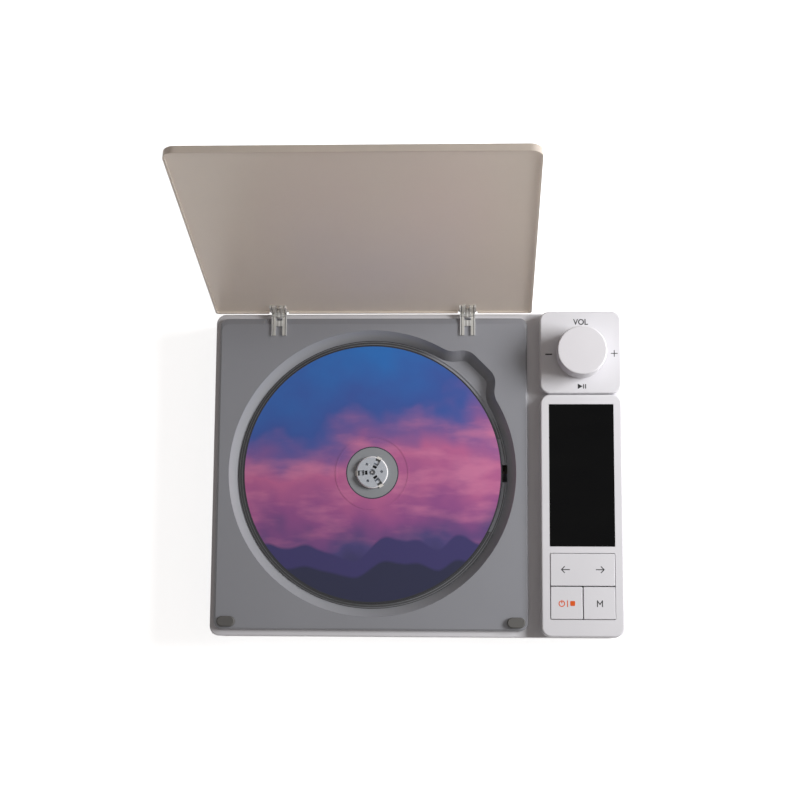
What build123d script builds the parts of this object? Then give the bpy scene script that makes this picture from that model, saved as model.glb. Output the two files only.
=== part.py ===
from build123d import *
import os
from math import cos, sin, tan, pi, radians, degrees, acos, atan2, sqrt

# A flat wall mounted CD player lying on its back, lid open. Millimetres. +Z comes out of the
# wall towards the user, +Y points to the lid hinge (up on the wall), and the origin is the
# centre of the rear cover's outer face.

# ---- casing ----
body_corner_r = 4.5
cover_t = 2.0             # rear cover plate
wall_t = 2.0              # casing walls
skin_t = 2.0              # casing front skin
deck_top = 23.0           # deck surface above the rear face
deck_rise = 2.0           # deck surface above the casing ledge
fit_gap = 0.15            # gap round a part dropped into another

# ---- disc and hub ----
disc_r = 60.0
disc_hole_r = 7.5
disc_t = 1.2
disc_drop = 3.2           # disc face below the deck surface
stack_ring_r = 16.8
cap_rise = 1.9            # hub cap above the disc face
cap_gap = 0.1
cap_floor = 0.2           # claw slot floor below the disc face
turntable_r = 12.6
turntable_t = 1.5
pad_t = 0.4
shaft_r = 1.0
claw_count = 3
claw_turn = 64.0          # direction of the first claw
claw_w = 2.2
claw_len = 3.4
claw_grip = 0.4           # claw tip over the disc's edge
claw_travel = 0.6
claw_lift = 0.1
claw_h = 1.1
slot_gap = 0.08

# ---- disc deck ----
well_clear = 6.3          # rim of the disc well beyond the disc
ring_clear = 1.6          # floor of the well beyond the disc
deck_side = 5.2           # deck beside the well's rim
deck_end = 5.7            # deck in front of and behind it
deck_corner_r = 3.5
ledge_left = 2.3          # casing ledge seen beside the deck
ledge_front = 3.0
ledge_rear = 2.4
deck_lap = 3.0            # deck edge resting on the casing skin
well_slope = 4.0          # how far the well's sloping wall comes in, from its rim to its foot
ring_step = 0.4           # ledge at the foot of the wall, above the floor
well_depth = 6.0
bowl_t = 1.6
rear_slope_w = 2.6        # sloping rear edge of the deck, clear of the open lid
deck_edge_w = 0.7         # slope along its other edges
deck_edge_h = 0.5
notch_in = 2.7            # sides of the finger notch, inside the disc's edge
notch_out = 12.0          # its slanting side, outside the disc's edge
notch_lean = 8.0          # degrees its sides lean in towards the disc
notch_corner_r = 8.0
notch_blend_r = 9.0       # where the notch runs into the rim
deck_boss_in = 11.0       # deck screw bosses in from its edges

# ---- lid and hinges ----
lid_w = 147.4
lid_corner_r = 5.0
lid_t = 2.4
lid_rim = 1.0
lid_rim_w = 0.9
lid_rear_corner_r = 1.5
lid_front_inset = 0.1
lid_rear_inset = 1.1
lid_open_deg = 103.0
hinge_inset = 0.9         # hinge axis in from the rear face
hinge_rise = 0.85         # hinge axis above the deck surface
hinge_span = 88.0         # between the two hinges
leaf_w = 7.8
clip_w = 7.0
leaf_knuckle_w = 2.6
knuckle_r = 1.2
pin_r = 0.6
run_gap = 0.05            # radial gap of turning fits
side_gap = 0.2
seat_gap = 0.05           # round a boss that locates in a hole
leaf_len = 7.2
leaf_t = 1.2
leaf_slot_w = 1.2
leaf_slot_len = 3.6
clip_t = 0.9
clip_len = 9.7
bumper_w = 8.3
bumper_h = 4.8
bumper_inset_x = 5.5      # bumper centre in from the deck's side
bumper_inset_y = 3.5
bumper_gap = 0.3

# ---- control strip ----
block_w = 37.4
strip_gap = 5.7           # casing ledge between the deck and the control strip
block_rise = 4.8          # panels above the deck surface
block_corner_r = 4.5
block_edge_r = 0.9
block_wall = 1.8
block_seam = 0.4
block_end_inset = 0.2
knob_r = 11.25
knob_h = 11.5
knob_low = 1.1            # knob below the middle of its panel, under the lettering
knob_gap = 0.8
knob_press = 0.5
knob_edge_r = 0.7
knob_wall = 2.0
encoder_shaft_r = 3.0
screen_w = 29.4
screen_h = 65.0
screen_inset = 4.6        # screen top below the panel's top edge
screen_t = 1.1
screen_sunk = 0.1
screen_lip = 1.4
lcd_t = 2.4
keys_w = 29.0
key_h = 14.5
keys_below_screen = 3.2
keys_margin = 8.0         # panel in front of the keys
key_seam = 0.4
key_gap = 0.25
key_proud = 0.2
key_t = 3.2
key_flange = 0.8
key_flange_t = 0.6
key_flange_gap = 0.5
key_travel = 0.3
key_edge_r = 0.3
rocker_deg = 1.5
stem_w = 3.0
stem_gap = 0.05           # left under a stem at full travel

# ---- boards, ports and power ----
pcb_t = 1.6
board_w = 24.0
board_end_in = 8.3        # control board in from the rear end of the knob's panel
board_drop = 1.5          # control board below the casing skin
switch_w = 4.5
switch_t = 2.0
switch_tip_r = 1.1
switch_tip_h = 0.8
encoder_w = 12.0
encoder_h = 4.6
rotor_r = 4.5
rotor_t = 1.2
usb_w = 9.0
usb_h = 3.2
usb_len = 7.4
jack_w = 6.6
jack_h = 5.0
jack_len = 12.0
jack_r = 1.8              # bore for a 3.5 mm plug
jack_nose_r = 2.8
port_gap = 0.3
battery_w = 56.0
battery_h = 25.0
battery_t = 7.0
main_board_w = 43.0
main_board_in = 12.0      # main board from the lower wall
main_board_h = 90.0
main_board_z = 5.0
ribbon_w = 12.0
ribbon_t = 0.3
plug_w = 4.0              # connectors on the main board
chip_t = 1.2
can_r = 2.6               # can capacitors
can_h = 5.0
chips = [(0.23, 0.44, 10.0), (0.56, 0.66, 7.0), (0.18, 0.73, 5.0), (0.63, 0.28, 9.0)]

# ---- mechanism ----
chassis_t = 1.4
chassis_z = 8.7
chassis_left = 20.0       # chassis edges from the spindle
chassis_rear = 24.0
chassis_front = 40.0
chassis_beyond = 24.0     # chassis to the right of the disc's edge
damper_in = 6.2           # chassis dampers in from its edges
window_margin = 14.5      # sled window starts this far from the spindle
window_beyond = 9.5       # and ends this far past the disc's edge
window_rear = 20.0
window_h = 38.6
cover_left = 16.0         # mechanism cover's edges from the spindle
cover_rear = 16.3
cover_front = 27.0
cover_seat = 1.5          # step that the cover rests on
lens_slot_half = 4.0
lens_slot_start = 17.5
rod_r = 1.5
rod_bearing = 3.0
main_rod_y = -13.4
aux_rod_y = 16.0
sled_rest = 24.0          # lens from the spindle axis at rest
sled_end = 2.0            # lens stops this far inside the disc's edge
sled_half = 9.0
sled_bottom = 4.6
sled_top = 13.4
sled_rear = 10.6
sled_front = 10.0
lens_pin_r = 0.5
lens_pin_x = 4.5           # focus pin from the lens
lens_pin_h = 1.3
lens_travel = 0.3
gear_module = 0.5
rack_y = -21.0            # pitch line of the rack
pinion_teeth = 18         # on the step-down gear, drives the rack
wheel_teeth = 28          # on the step-down gear, driven by the motor
motor_teeth = 14
gear_x = 32.0             # step-down gear axis from the spindle
tooth_play = 0.10
spindle_can_r = 12.0
spindle_can_h = 5.5
sled_can_r = 6.5
damper_r = 4.0

# ---- fixings ----
keyhole_span = 110.0
keyhole_y = 50.0
keyhole_r = 4.25          # entry for the screw head
keyhole_slot_w = 4.4
keyhole_slot_len = 9.0
foot_r = 5.0
foot_t = 1.0              # pads let into the cover, flush with it
foot_inset = 13.0
screw_inset = 4.8
post_r = 3.0
screw_r = 1.0             # the thread, and the hole it cuts into
head_r = 1.8
head_h = 1.3
cover_screw_bite = 7.0     # cover screws into the casing's posts
cover_screw_in = 6.0       # their middle pair beside the control strip
panel_screw_bite = 3.0
panel_screw_rear = 9.8     # rear pair of panel screws in from the panel's rear edge
panel_screw_dx = 7.5       # front pair, from the panel's middle
panel_screw_front = 4.3

# ---- worked out from the sizes above ----
well_r = disc_r + well_clear
ring_r = disc_r + ring_clear
deck_w = 2 * (well_r + deck_side)
deck_h = 2 * (well_r + deck_end)
body_w = ledge_left + deck_w + strip_gap + block_w      # overall width
body_h = ledge_front + deck_h + ledge_rear              # overall height on the wall
notch_reach = disc_r - notch_in
notch_diagonal = disc_r + notch_out
sled_travel = disc_r - sled_end - sled_rest
left = -body_w / 2
right = body_w / 2
front = -body_h / 2
rear = body_h / 2
ledge_z = deck_top - deck_rise
skin_z = ledge_z - skin_t
deck_left = left + ledge_left
deck_front = front + ledge_front
disc_x = deck_left + deck_w / 2
disc_y = deck_front + deck_h / 2
disc_top = deck_top - disc_drop
disc_bottom = disc_top - disc_t
floor_z = deck_top - well_depth
bowl_z = floor_z - bowl_t
panel_top = deck_top + block_rise
panel_in = panel_top - block_wall
lid_top = panel_top
lid_in = lid_top - lid_t
lid_edge = lid_in - lid_rim
hinge_y = rear - hinge_inset
hinge_z = deck_top + hinge_rise
block_left = right - block_w
block_x = block_left + block_w / 2
knob_block_top = rear - block_end_inset
display_bottom = front + block_end_inset
keys_top = display_bottom + keys_margin + 2 * key_h + key_seam
screen_top_y = keys_top + keys_below_screen + screen_h
display_top = screen_top_y + screen_inset
knob_block_bottom = display_top + block_seam            # the knob's panel has what the screen's leaves
knob_x = block_x
knob_y = (knob_block_top + knob_block_bottom) / 2 - knob_low
knob_z = panel_top + knob_gap
board_top = skin_z - board_drop
board_z = board_top - pcb_t
board_left = block_x - board_w / 2
board_front = front + wall_t + 0.6
board_rear = knob_block_top - board_end_in
screen_y = screen_top_y - screen_h / 2
rocker_y = keys_top - key_h / 2
key_row_y = rocker_y - key_h - key_seam
key_top = panel_top + key_proud
key_z = key_top - key_t
switch_top = board_top + switch_t + switch_tip_h
stem_z = switch_top + key_travel + stem_gap
switch_dx = 8.0
cap_top = disc_top + cap_rise
cap_r = disc_hole_r - cap_gap
turntable_z = disc_bottom - pad_t - turntable_t
chassis_top = chassis_z + chassis_t
rod_z = chassis_top + rod_r
pitch_pinion = gear_module * pinion_teeth / 2
pitch_wheel = gear_module * wheel_teeth / 2
pitch_motor = gear_module * motor_teeth / 2
gear_y = rack_y - pitch_pinion
motor_x = gear_x - pitch_wheel - pitch_motor
wheel_z = chassis_top + 0.4
wheel_t = 1.2
pinion_z = wheel_z + wheel_t
pinion_t = 2.2
rack_z = pinion_z + 0.2
rack_t = 1.8


# ---- shapes used throughout ----
def block(x0, x1, y0, y1, z0, z1):
    """A box by its faces."""
    return Pos((x0 + x1) / 2, (y0 + y1) / 2, (z0 + z1) / 2) * Box(x1 - x0, y1 - y0, z1 - z0)


def slab(x0, x1, y0, y1, z0, z1, r):
    """A box by its faces with round upright corners."""
    outline = RectangleRounded(x1 - x0, y1 - y0, r)
    return Pos((x0 + x1) / 2, (y0 + y1) / 2, z0) * extrude(outline, z1 - z0)


def post(x, y, z0, z1, r):
    """An upright cylinder."""
    return Pos(x, y, (z0 + z1) / 2) * Cylinder(r, z1 - z0)


def bar_x(x0, x1, y, z, r):
    """A cylinder along X."""
    return Pos((x0 + x1) / 2, y, z) * Rot(0, 90, 0) * Cylinder(r, x1 - x0)


def bar_y(x, y0, y1, z, r):
    """A cylinder along Y."""
    return Pos(x, (y0 + y1) / 2, z) * Rot(90, 0, 0) * Cylinder(r, y1 - y0)


def joined(shapes):
    """Fuse a list of shapes."""
    whole = shapes[0]
    for shape in shapes[1:]:
        whole = whole + shape
    return whole


def opened(shape):
    """Turn a lid piece from its closed place to the open one."""
    return Pos(0, hinge_y, hinge_z) * Rot(-lid_open_deg, 0, 0) * Pos(0, -hinge_y, -hinge_z) * shape


def upright_edges(shape, z):
    """The edges that lie in the plane at height z."""
    return [e for e in shape.edges() if abs(e.center().Z - z) < 1e-4 and e.length > 0.2]


def screw(x, y, head_z, tip_z):
    """A pan head screw between the outer face of its head and its tip, either way up."""
    up = 1 if tip_z > head_z else -1
    under = head_z + up * head_h
    head = post(x, y, min(head_z, under), max(head_z, under), head_r)
    shank = post(x, y, min(under, tip_z), max(under, tip_z), screw_r)
    return head + shank


def corners(inset_x, inset_y):
    """Four places set in from the corners of the casing."""
    return [(sx * (right - inset_x), sy * (rear - inset_y)) for sx in (-1, 1) for sy in (-1, 1)]


cover_screw_places = corners(screw_inset, screw_inset)
cover_screw_places += [(block_left - cover_screw_in, sy * (rear - screw_inset)) for sy in (-1, 1)]
deck_screw_places = [(disc_x + sx * (deck_w / 2 - deck_boss_in), disc_y + sy * (deck_h / 2 - deck_boss_in))
                     for sx in (-1, 1) for sy in (-1, 1)]
panel_boss_in = 4.0
panel_screw_places = [(block_x + sx * (block_w / 2 - panel_boss_in), y) for sx in (-1, 1)
                      for y in (knob_block_top - panel_screw_rear, knob_block_bottom + panel_boss_in,
                                display_top - panel_boss_in)]
panel_screw_places += [(block_x + sx * panel_screw_dx, display_bottom + panel_screw_front) for sx in (-1, 1)]
board_screw_places = [(block_x + sx * 9.5, knob_block_bottom - block_seam / 2) for sx in (-1, 1)]
board_screw_places.append((block_x - 1.5, board_front + 2.6))
chassis_x0 = disc_x - chassis_left
chassis_x1 = disc_x + disc_r + chassis_beyond
chassis_y0 = disc_y - chassis_front
chassis_y1 = disc_y + chassis_rear
damper_places = [(x, y) for x in (chassis_x0 + damper_in, chassis_x1 - damper_in)
                 for y in (chassis_y0 + damper_in, chassis_y1 - damper_in)]
hinge_places = [disc_x - hinge_span / 2, disc_x + hinge_span / 2]
claw_angles = [claw_turn + 360.0 * i / claw_count for i in range(claw_count)]


# ---- casing ----
def make_rear_cover():
    plate = slab(left, right, front, rear, 0, cover_t, body_corner_r)
    plate = chamfer(upright_edges(plate, 0), 0.8)
    inset = wall_t + fit_gap
    lip = slab(left + inset, right - inset, front + inset, rear - inset, cover_t, cover_t + 1.6, 2.5)
    lip -= slab(left + inset + 1.4, right - inset - 1.4, front + inset + 1.4, rear - inset - 1.4,
                cover_t, cover_t + 1.6, 1.2)
    for x, y in cover_screw_places:
        lip -= post(x, y, cover_t, cover_t + 1.6, post_r + fit_gap)
    cover = plate + lip
    for x, y in cover_screw_places:
        cover -= post(x, y, 0, cover_t, screw_r + 0.2)
        cover -= post(x, y, 0, head_h, head_r + 0.2)
    for sx in (-1, 1):
        x = sx * keyhole_span / 2
        cover -= post(x, keyhole_y, 0, cover_t, keyhole_r)
        cover -= block(x - keyhole_slot_w / 2, x + keyhole_slot_w / 2,
                       keyhole_y, keyhole_y + keyhole_slot_len, 0, cover_t)
        cover -= post(x, keyhole_y + keyhole_slot_len, 0, cover_t, keyhole_slot_w / 2)
    for x, y in damper_places:
        cover += post(x, y, cover_t, chassis_z - 1.0, 2.6)
        cover -= post(x, y, cover_t + 1.0, chassis_z - 1.0, screw_r)
    for x, y in main_board_posts:
        cover += post(x, y, cover_t, main_board_z, 2.4)
        cover -= post(x, y, cover_t, main_board_z, screw_r)
    for x, y in corners(foot_inset, foot_inset):
        cover -= post(x, y, 0, foot_t, foot_r + fit_gap)
    return cover


def make_front_frame():
    frame = slab(left, right, front, rear, cover_t, ledge_z, body_corner_r)
    frame = fillet(upright_edges(frame, ledge_z), 0.5)
    frame -= slab(left + wall_t, right - wall_t, front + wall_t, rear - wall_t,
                  cover_t, skin_z, body_corner_r - wall_t)
    frame -= deck_window(0, skin_z, ledge_z)
    frame -= block(knob_x - encoder_w + 2, knob_x + encoder_w - 2, knob_y - encoder_w + 3,
                   knob_y + encoder_w - 3, skin_z, ledge_z)
    frame -= block(block_x - window_half, block_x + window_half, display_bottom + 7.4,
                   display_top - 3.0, skin_z, ledge_z)
    gusset_z = skin_z - 2.0
    for x, y in deck_screw_places:
        sx = 1 if x > disc_x else -1
        sy = 1 if y > disc_y else -1
        edge_x = left + wall_t / 2 if sx < 0 else disc_x + deck_w / 2 + 2.0
        edge_y = sy * (rear - wall_t / 2)
        tab = block(min(x - sx * 4.5, edge_x), max(x - sx * 4.5, edge_x),
                    min(y - sy * 4.5, edge_y), max(y - sy * 4.5, edge_y), gusset_z, skin_z)
        tab -= post(disc_x, disc_y, gusset_z, skin_z, well_r + bowl_t + 0.6)
        tab -= post(x, y, gusset_z, skin_z, screw_r + 0.2)
        frame += tab
    for x, y in cover_screw_places:
        frame += post(x, y, cover_t, skin_z, post_r)
        frame -= post(x, y, cover_t, cover_t + 8.5, screw_r)
    for x, y in board_screw_places:
        frame += post(x, y, board_top, skin_z, 2.4)
        frame -= post(x, y, board_top, skin_z + 1.0, screw_r)
    for x, y in panel_screw_places:
        frame -= post(x, y, skin_z, ledge_z, screw_r + 0.2)
    usb_x, jack_x = port_places
    frame -= slab_y(usb_x, board_z - usb_h / 2, usb_w + 2 * port_gap, usb_h + 2 * port_gap)
    frame -= bar_y(jack_x, front, front + wall_t, board_z - jack_h / 2, jack_nose_r + fit_gap)
    return frame


def slab_y(x, z, w, h):
    """A round-ended hole through the front wall."""
    hole = Plane.XZ * SlotOverall(w, h)
    return Pos(x, front + wall_t, z) * extrude(hole, wall_t)


def deck_window(gap, z0, z1):
    """The opening under the deck, or the deck's plug in it when a gap is given."""
    inset = deck_lap + gap
    return slab(deck_left + inset, deck_left + deck_w - inset,
                deck_front + inset, deck_front + deck_h - inset, z0, z1, 3.0)


# ---- disc deck ----
def well_outline(grow):
    """The disc well's rim with the finger notch beside it, moved out by grow."""
    reach = notch_reach + grow
    cut = (notch_diagonal + grow) * sqrt(2) - reach
    root = reach - cut * tan(radians(notch_lean))
    notch = make_face(Polyline((0, 0), (root, 0), (reach, cut), (cut, reach), (0, root), (0, 0)))
    tips = [v for v in notch.vertices() if v.X > cut - 1 and v.Y > cut - 1]
    rim = fillet(tips, notch_corner_r) + Circle(well_r + grow)
    meets = [v for v in rim.vertices() if abs(sqrt(v.X ** 2 + v.Y ** 2) - well_r - grow) < 0.01
             and v.X > 1 and v.Y > 1]
    return fillet(meets, notch_blend_r)


def well_prism(grow, z0, slope):
    """The well and its notch from the deck's surface down to z0, closing in by slope."""
    drop = deck_top - z0
    taper = degrees(atan2(slope, drop))
    return Pos(disc_x, disc_y, deck_top) * extrude(well_outline(grow), drop, dir=(0, 0, -1), taper=taper)


def mechanism_opening(gap, z0, z1):
    """The opening in the well floor over the mechanism."""
    plate = block(disc_x - cover_left + gap, disc_x + ring_r + 2, disc_y - cover_front + gap,
                  disc_y + cover_rear - gap, z0, z1)
    return plate & post(disc_x, disc_y, z0, z1, ring_r - 0.2 - gap)


def make_deck():
    plate = slab(deck_left, deck_left + deck_w, deck_front, deck_front + deck_h,
                 ledge_z, deck_top - deck_edge_h, deck_corner_r)
    rim = Pos(disc_x, disc_y, deck_top - deck_edge_h) * RectangleRounded(deck_w, deck_h, deck_corner_r)
    top_shift = (deck_edge_w - rear_slope_w) / 2
    top = Pos(disc_x, disc_y + top_shift, deck_top) * RectangleRounded(
        deck_w - 2 * deck_edge_w, deck_h - deck_edge_w - rear_slope_w, deck_corner_r - deck_edge_w)
    plate += loft([rim, top])
    plug = deck_window(fit_gap, skin_z + 0.4, ledge_z)
    bowl = well_prism(bowl_t, bowl_z, well_slope + 0.8)
    bowl &= block(left, right, front, rear, bowl_z, deck_top - 0.3)
    deck = plate + plug + bowl
    for x, y in deck_screw_places:
        deck += post(x, y, skin_z, ledge_z, post_r)
        deck -= post(x, y, skin_z, ledge_z + 0.4, screw_r)
    deck -= well_prism(0, floor_z + ring_step, well_slope)
    deck -= post(disc_x, disc_y, floor_z, floor_z + ring_step, ring_r)
    deck -= mechanism_opening(0, floor_z - bowl_t / 2, floor_z)
    deck -= mechanism_opening(cover_seat, bowl_z, floor_z)
    slot_end = well_r - well_slope - 0.1
    deck -= block(disc_x + slot_end - 3.0, disc_x + slot_end, disc_y - lens_slot_half,
                  disc_y + lens_slot_half, bowl_z, floor_z + ring_step)
    for x in hinge_places:
        for dx in (-1, 1):
            deck -= post(x + dx * 2.5, hinge_y - clip_len + 2.2, ledge_z, deck_top, 0.8)
    return deck


def make_mechanism_cover():
    cover = mechanism_opening(fit_gap, floor_z - bowl_t / 2, floor_z)
    cover += mechanism_opening(cover_seat + fit_gap, bowl_z, floor_z - bowl_t / 2)
    cover -= post(disc_x, disc_y, bowl_z, floor_z, turntable_r + 0.9)
    cover -= block(disc_x + lens_slot_start, disc_x + ring_r + 2, disc_y - lens_slot_half,
                   disc_y + lens_slot_half, bowl_z, floor_z)
    return cover


def make_lid_bumpers():
    pads = []
    for sx in (-1, 1):
        x = disc_x + sx * (deck_w / 2 - bumper_inset_x)
        y = deck_front + bumper_inset_y
        pad = Pos(x, y, deck_top) * extrude(SlotOverall(bumper_w, bumper_h), lid_in - bumper_gap - deck_top)
        pads.append(chamfer(upright_edges(pad, lid_in - bumper_gap), 0.5))
    return Compound(children=pads)


# ---- lid and hinges ----
def make_lid():
    x0 = disc_x - lid_w / 2
    x1 = disc_x + lid_w / 2
    y0 = front + lid_front_inset
    y1 = rear - lid_rear_inset
    lid = lid_outline(x0, x1, y0, y1, lid_edge, lid_top, lid_corner_r, lid_rear_corner_r)
    lid = fillet(upright_edges(lid, lid_top), 0.6)
    lid -= lid_outline(x0 + lid_rim_w, x1 - lid_rim_w, y0 + lid_rim_w, y1 - lid_rim_w, lid_edge, lid_in,
                       lid_corner_r - lid_rim_w, lid_rear_corner_r - lid_rim_w)
    for x in hinge_places:
        half = leaf_w / 2 + 0.6
        lid -= block(x - half, x + half, y1 - lid_rim_w - 0.1, y1, lid_edge, lid_in)
    return opened(lid)


def lid_outline(x0, x1, y0, y1, z0, z1, front_r, rear_r):
    """A slab with rounder corners at the front than beside the hinges."""
    outline = Pos((x0 + x1) / 2, (y0 + y1) / 2) * Rectangle(x1 - x0, y1 - y0)
    outline = fillet([v for v in outline.vertices() if v.Y < 0], front_r)
    outline = fillet([v for v in outline.vertices() if v.Y > y1 - 0.01], rear_r)
    return Pos(0, 0, z0) * extrude(outline, z1 - z0)


def make_hinge_leaf(x):
    """Clear leaf on the lid: a plate, a narrow neck and the middle knuckle."""
    half = leaf_w / 2
    neck = leaf_knuckle_w / 2
    shoulder = hinge_y - knuckle_r - 0.6
    plate = block(x - half, x + half, hinge_y - leaf_len, shoulder, lid_in - leaf_t, lid_in)
    arm = block(x - neck, x + neck, shoulder, hinge_y, lid_in - leaf_t, lid_in)
    knuckle = bar_x(x - neck, x + neck, hinge_y, hinge_z, knuckle_r)
    bore = bar_x(x - neck, x + neck, hinge_y, hinge_z, pin_r + run_gap)
    leaf = plate + arm + block(x - neck, x + neck, hinge_y - knuckle_r, hinge_y + knuckle_r,
                               hinge_z, lid_in) + knuckle - bore
    leaf &= block(x - half, x + half, hinge_y - leaf_len, rear - lid_rear_inset + 0.3, 0, lid_in)
    leaf -= block(x - leaf_slot_w / 2, x + leaf_slot_w / 2, hinge_y - leaf_len,
                  hinge_y - leaf_len + leaf_slot_len, lid_in - leaf_t, lid_in)
    return opened(leaf)


def make_hinge_clip(x):
    """Clear clip on the deck: two prongs, their pegs, and the two outer knuckles."""
    half = clip_w / 2
    inner = leaf_knuckle_w / 2 + side_gap
    shapes = []
    for sx in (-1, 1):
        x0 = min(x + sx * inner, x + sx * half)
        x1 = max(x + sx * inner, x + sx * half)
        shapes.append(block(x0, x1, hinge_y - clip_len, hinge_y, deck_top, deck_top + clip_t))
        shapes.append(bar_x(x0, x1, hinge_y, hinge_z, knuckle_r))
        shapes.append(post(x + sx * 2.5, hinge_y - clip_len + 2.2, ledge_z, deck_top, 0.8 - 0.05))
    bridge = block(x - half, x + half, hinge_y - clip_len + 4.4, hinge_y - 2.6, deck_top, deck_top + clip_t)
    clip = joined([bridge] + shapes)
    clip -= bar_x(x - half, x + half, hinge_y, hinge_z, pin_r)
    return clip


def make_hinge_pins():
    return Compound(children=[bar_x(x - clip_w / 2, x + clip_w / 2, hinge_y, hinge_z, pin_r)
                              for x in hinge_places])


# ---- disc and hub ----
def make_disc():
    disc = post(disc_x, disc_y, disc_bottom, disc_top, disc_r)
    disc += post(disc_x, disc_y, disc_top, disc_top + 0.12, stack_ring_r + 0.4)
    disc -= post(disc_x, disc_y, disc_top, disc_top + 0.12, stack_ring_r - 0.4)
    disc -= post(disc_x, disc_y, disc_bottom, disc_top + 0.12, disc_hole_r)
    return disc


def make_turntable():
    table = post(disc_x, disc_y, turntable_z, turntable_z + turntable_t, turntable_r)
    table = chamfer(upright_edges(table, turntable_z), 0.3)
    table += post(disc_x, disc_y, turntable_z - 1.2, turntable_z, 3.0)
    return table - post(disc_x, disc_y, turntable_z - 1.2, disc_top, shaft_r)


def make_turntable_pad():
    pad = post(disc_x, disc_y, turntable_z + turntable_t, disc_bottom, turntable_r - 0.2)
    return pad - post(disc_x, disc_y, turntable_z + turntable_t, disc_bottom, disc_hole_r + 0.6)


def claw_block(angle, r0, r1, half_w, z0, z1):
    """A radial bar of the hub at one claw's angle."""
    bar = block(r0, r1, -half_w, half_w, z0, z1)
    return Pos(disc_x, disc_y, 0) * Rot(0, 0, angle) * bar


def make_hub_cap():
    base = turntable_z + turntable_t
    cap = post(disc_x, disc_y, base, cap_top, cap_r)
    cap = chamfer(upright_edges(cap, cap_top), 0.5)
    slot_in = disc_hole_r + claw_grip - claw_len - claw_travel - 0.3
    for angle in claw_angles:
        cap -= claw_block(angle, slot_in, disc_hole_r + 1, claw_w / 2 + slot_gap,
                          disc_top + claw_lift - slot_gap, cap_top)
        cap -= claw_block(angle, 2.1, 3.3, 0.95, cap_top - 1.2, cap_top)
        turn = radians(angle + 60)
        cap -= post(disc_x + 4.4 * cos(turn), disc_y + 4.4 * sin(turn), cap_top - 1.2, cap_top, 0.65)
    cap -= post(disc_x, disc_y, cap_top - 0.8, cap_top, 1.5)
    return cap - post(disc_x, disc_y, base, cap_top, shaft_r)


def make_claw(angle):
    tip = disc_hole_r + claw_grip
    z0 = disc_top + claw_lift
    claw = claw_block(angle, tip - claw_len, tip, claw_w / 2, z0, z0 + claw_h)
    slope = make_face(Polyline((tip - 0.9, z0 + claw_h), (tip, z0 + claw_h), (tip, z0 + 0.35),
                               (tip - 0.9, z0 + claw_h)))
    wedge = Plane.XZ * extrude(slope, claw_w, both=True)
    return claw - Pos(disc_x, disc_y, 0) * Rot(0, 0, angle) * wedge


def make_spindle_shaft():
    return post(disc_x, disc_y, chassis_z - spindle_can_h + 0.6, cap_top - 0.3, shaft_r)


# ---- mechanism ----
def make_spindle_motor():
    z0 = chassis_z - spindle_can_h
    can = fillet(upright_edges(post(disc_x, disc_y, z0, chassis_z, spindle_can_r), z0), 1.0)
    can += post(disc_x, disc_y, chassis_z, chassis_top + 0.8, 3.0)
    return can - post(disc_x, disc_y, z0 + 0.3, chassis_top + 0.8, shaft_r + run_gap)


def make_chassis():
    plate = slab(chassis_x0, chassis_x1, chassis_y0, chassis_y1, chassis_z, chassis_top, 4.0)
    window_y = disc_y + window_rear
    plate -= slab(disc_x + window_margin, disc_x + disc_r + window_beyond,
                  window_y - window_h, window_y, chassis_z, chassis_top, 1.5)
    plate -= post(disc_x, disc_y, chassis_z, chassis_top, 3.0 + seat_gap)
    plate -= post(disc_x + gear_x, disc_y + gear_y, chassis_z, chassis_top, 0.8)
    plate -= post(disc_x + motor_x, disc_y + gear_y, chassis_z, chassis_top, 2.2 + seat_gap)
    for x, y in damper_places:
        plate -= post(x, y, chassis_z, chassis_top, 2.6 + seat_gap)
    return plate


def make_dampers():
    """Grooved rubber grommets that carry the chassis on the cover's posts."""
    rings = []
    for x, y in damper_places:
        ring = post(x, y, chassis_z - 1.0, chassis_z, damper_r)
        ring += post(x, y, chassis_z, chassis_top, 2.6)
        ring += post(x, y, chassis_top, chassis_top + 1.0, damper_r)
        rings.append(ring - post(x, y, chassis_z - 1.0, chassis_top + 1.0, screw_r))
    return Compound(children=rings)


def make_damper_screws():
    return Compound(children=[screw(x, y, chassis_top + 1.0 + head_h, cover_t + 1.2)
                              for x, y in damper_places])


def rod_span():
    return disc_x + window_margin - rod_bearing, disc_x + disc_r + window_beyond + rod_bearing


def make_guide_rods():
    x0, x1 = rod_span()
    return Compound(children=[bar_x(x0, x1, disc_y + y, rod_z, rod_r) for y in (main_rod_y, aux_rod_y)])


def make_rod_holders():
    x0, x1 = rod_span()
    holders = []
    for y in (main_rod_y, aux_rod_y):
        for x in (x0 - 1.0, x1 - 2.8):
            body = block(x, x + 3.8, disc_y + y - 3.4, disc_y + y + 3.4, chassis_top, rod_z + 2.4)
            holders.append(body - bar_x(x0, x1, disc_y + y, rod_z, rod_r))
    return Compound(children=holders)


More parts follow.
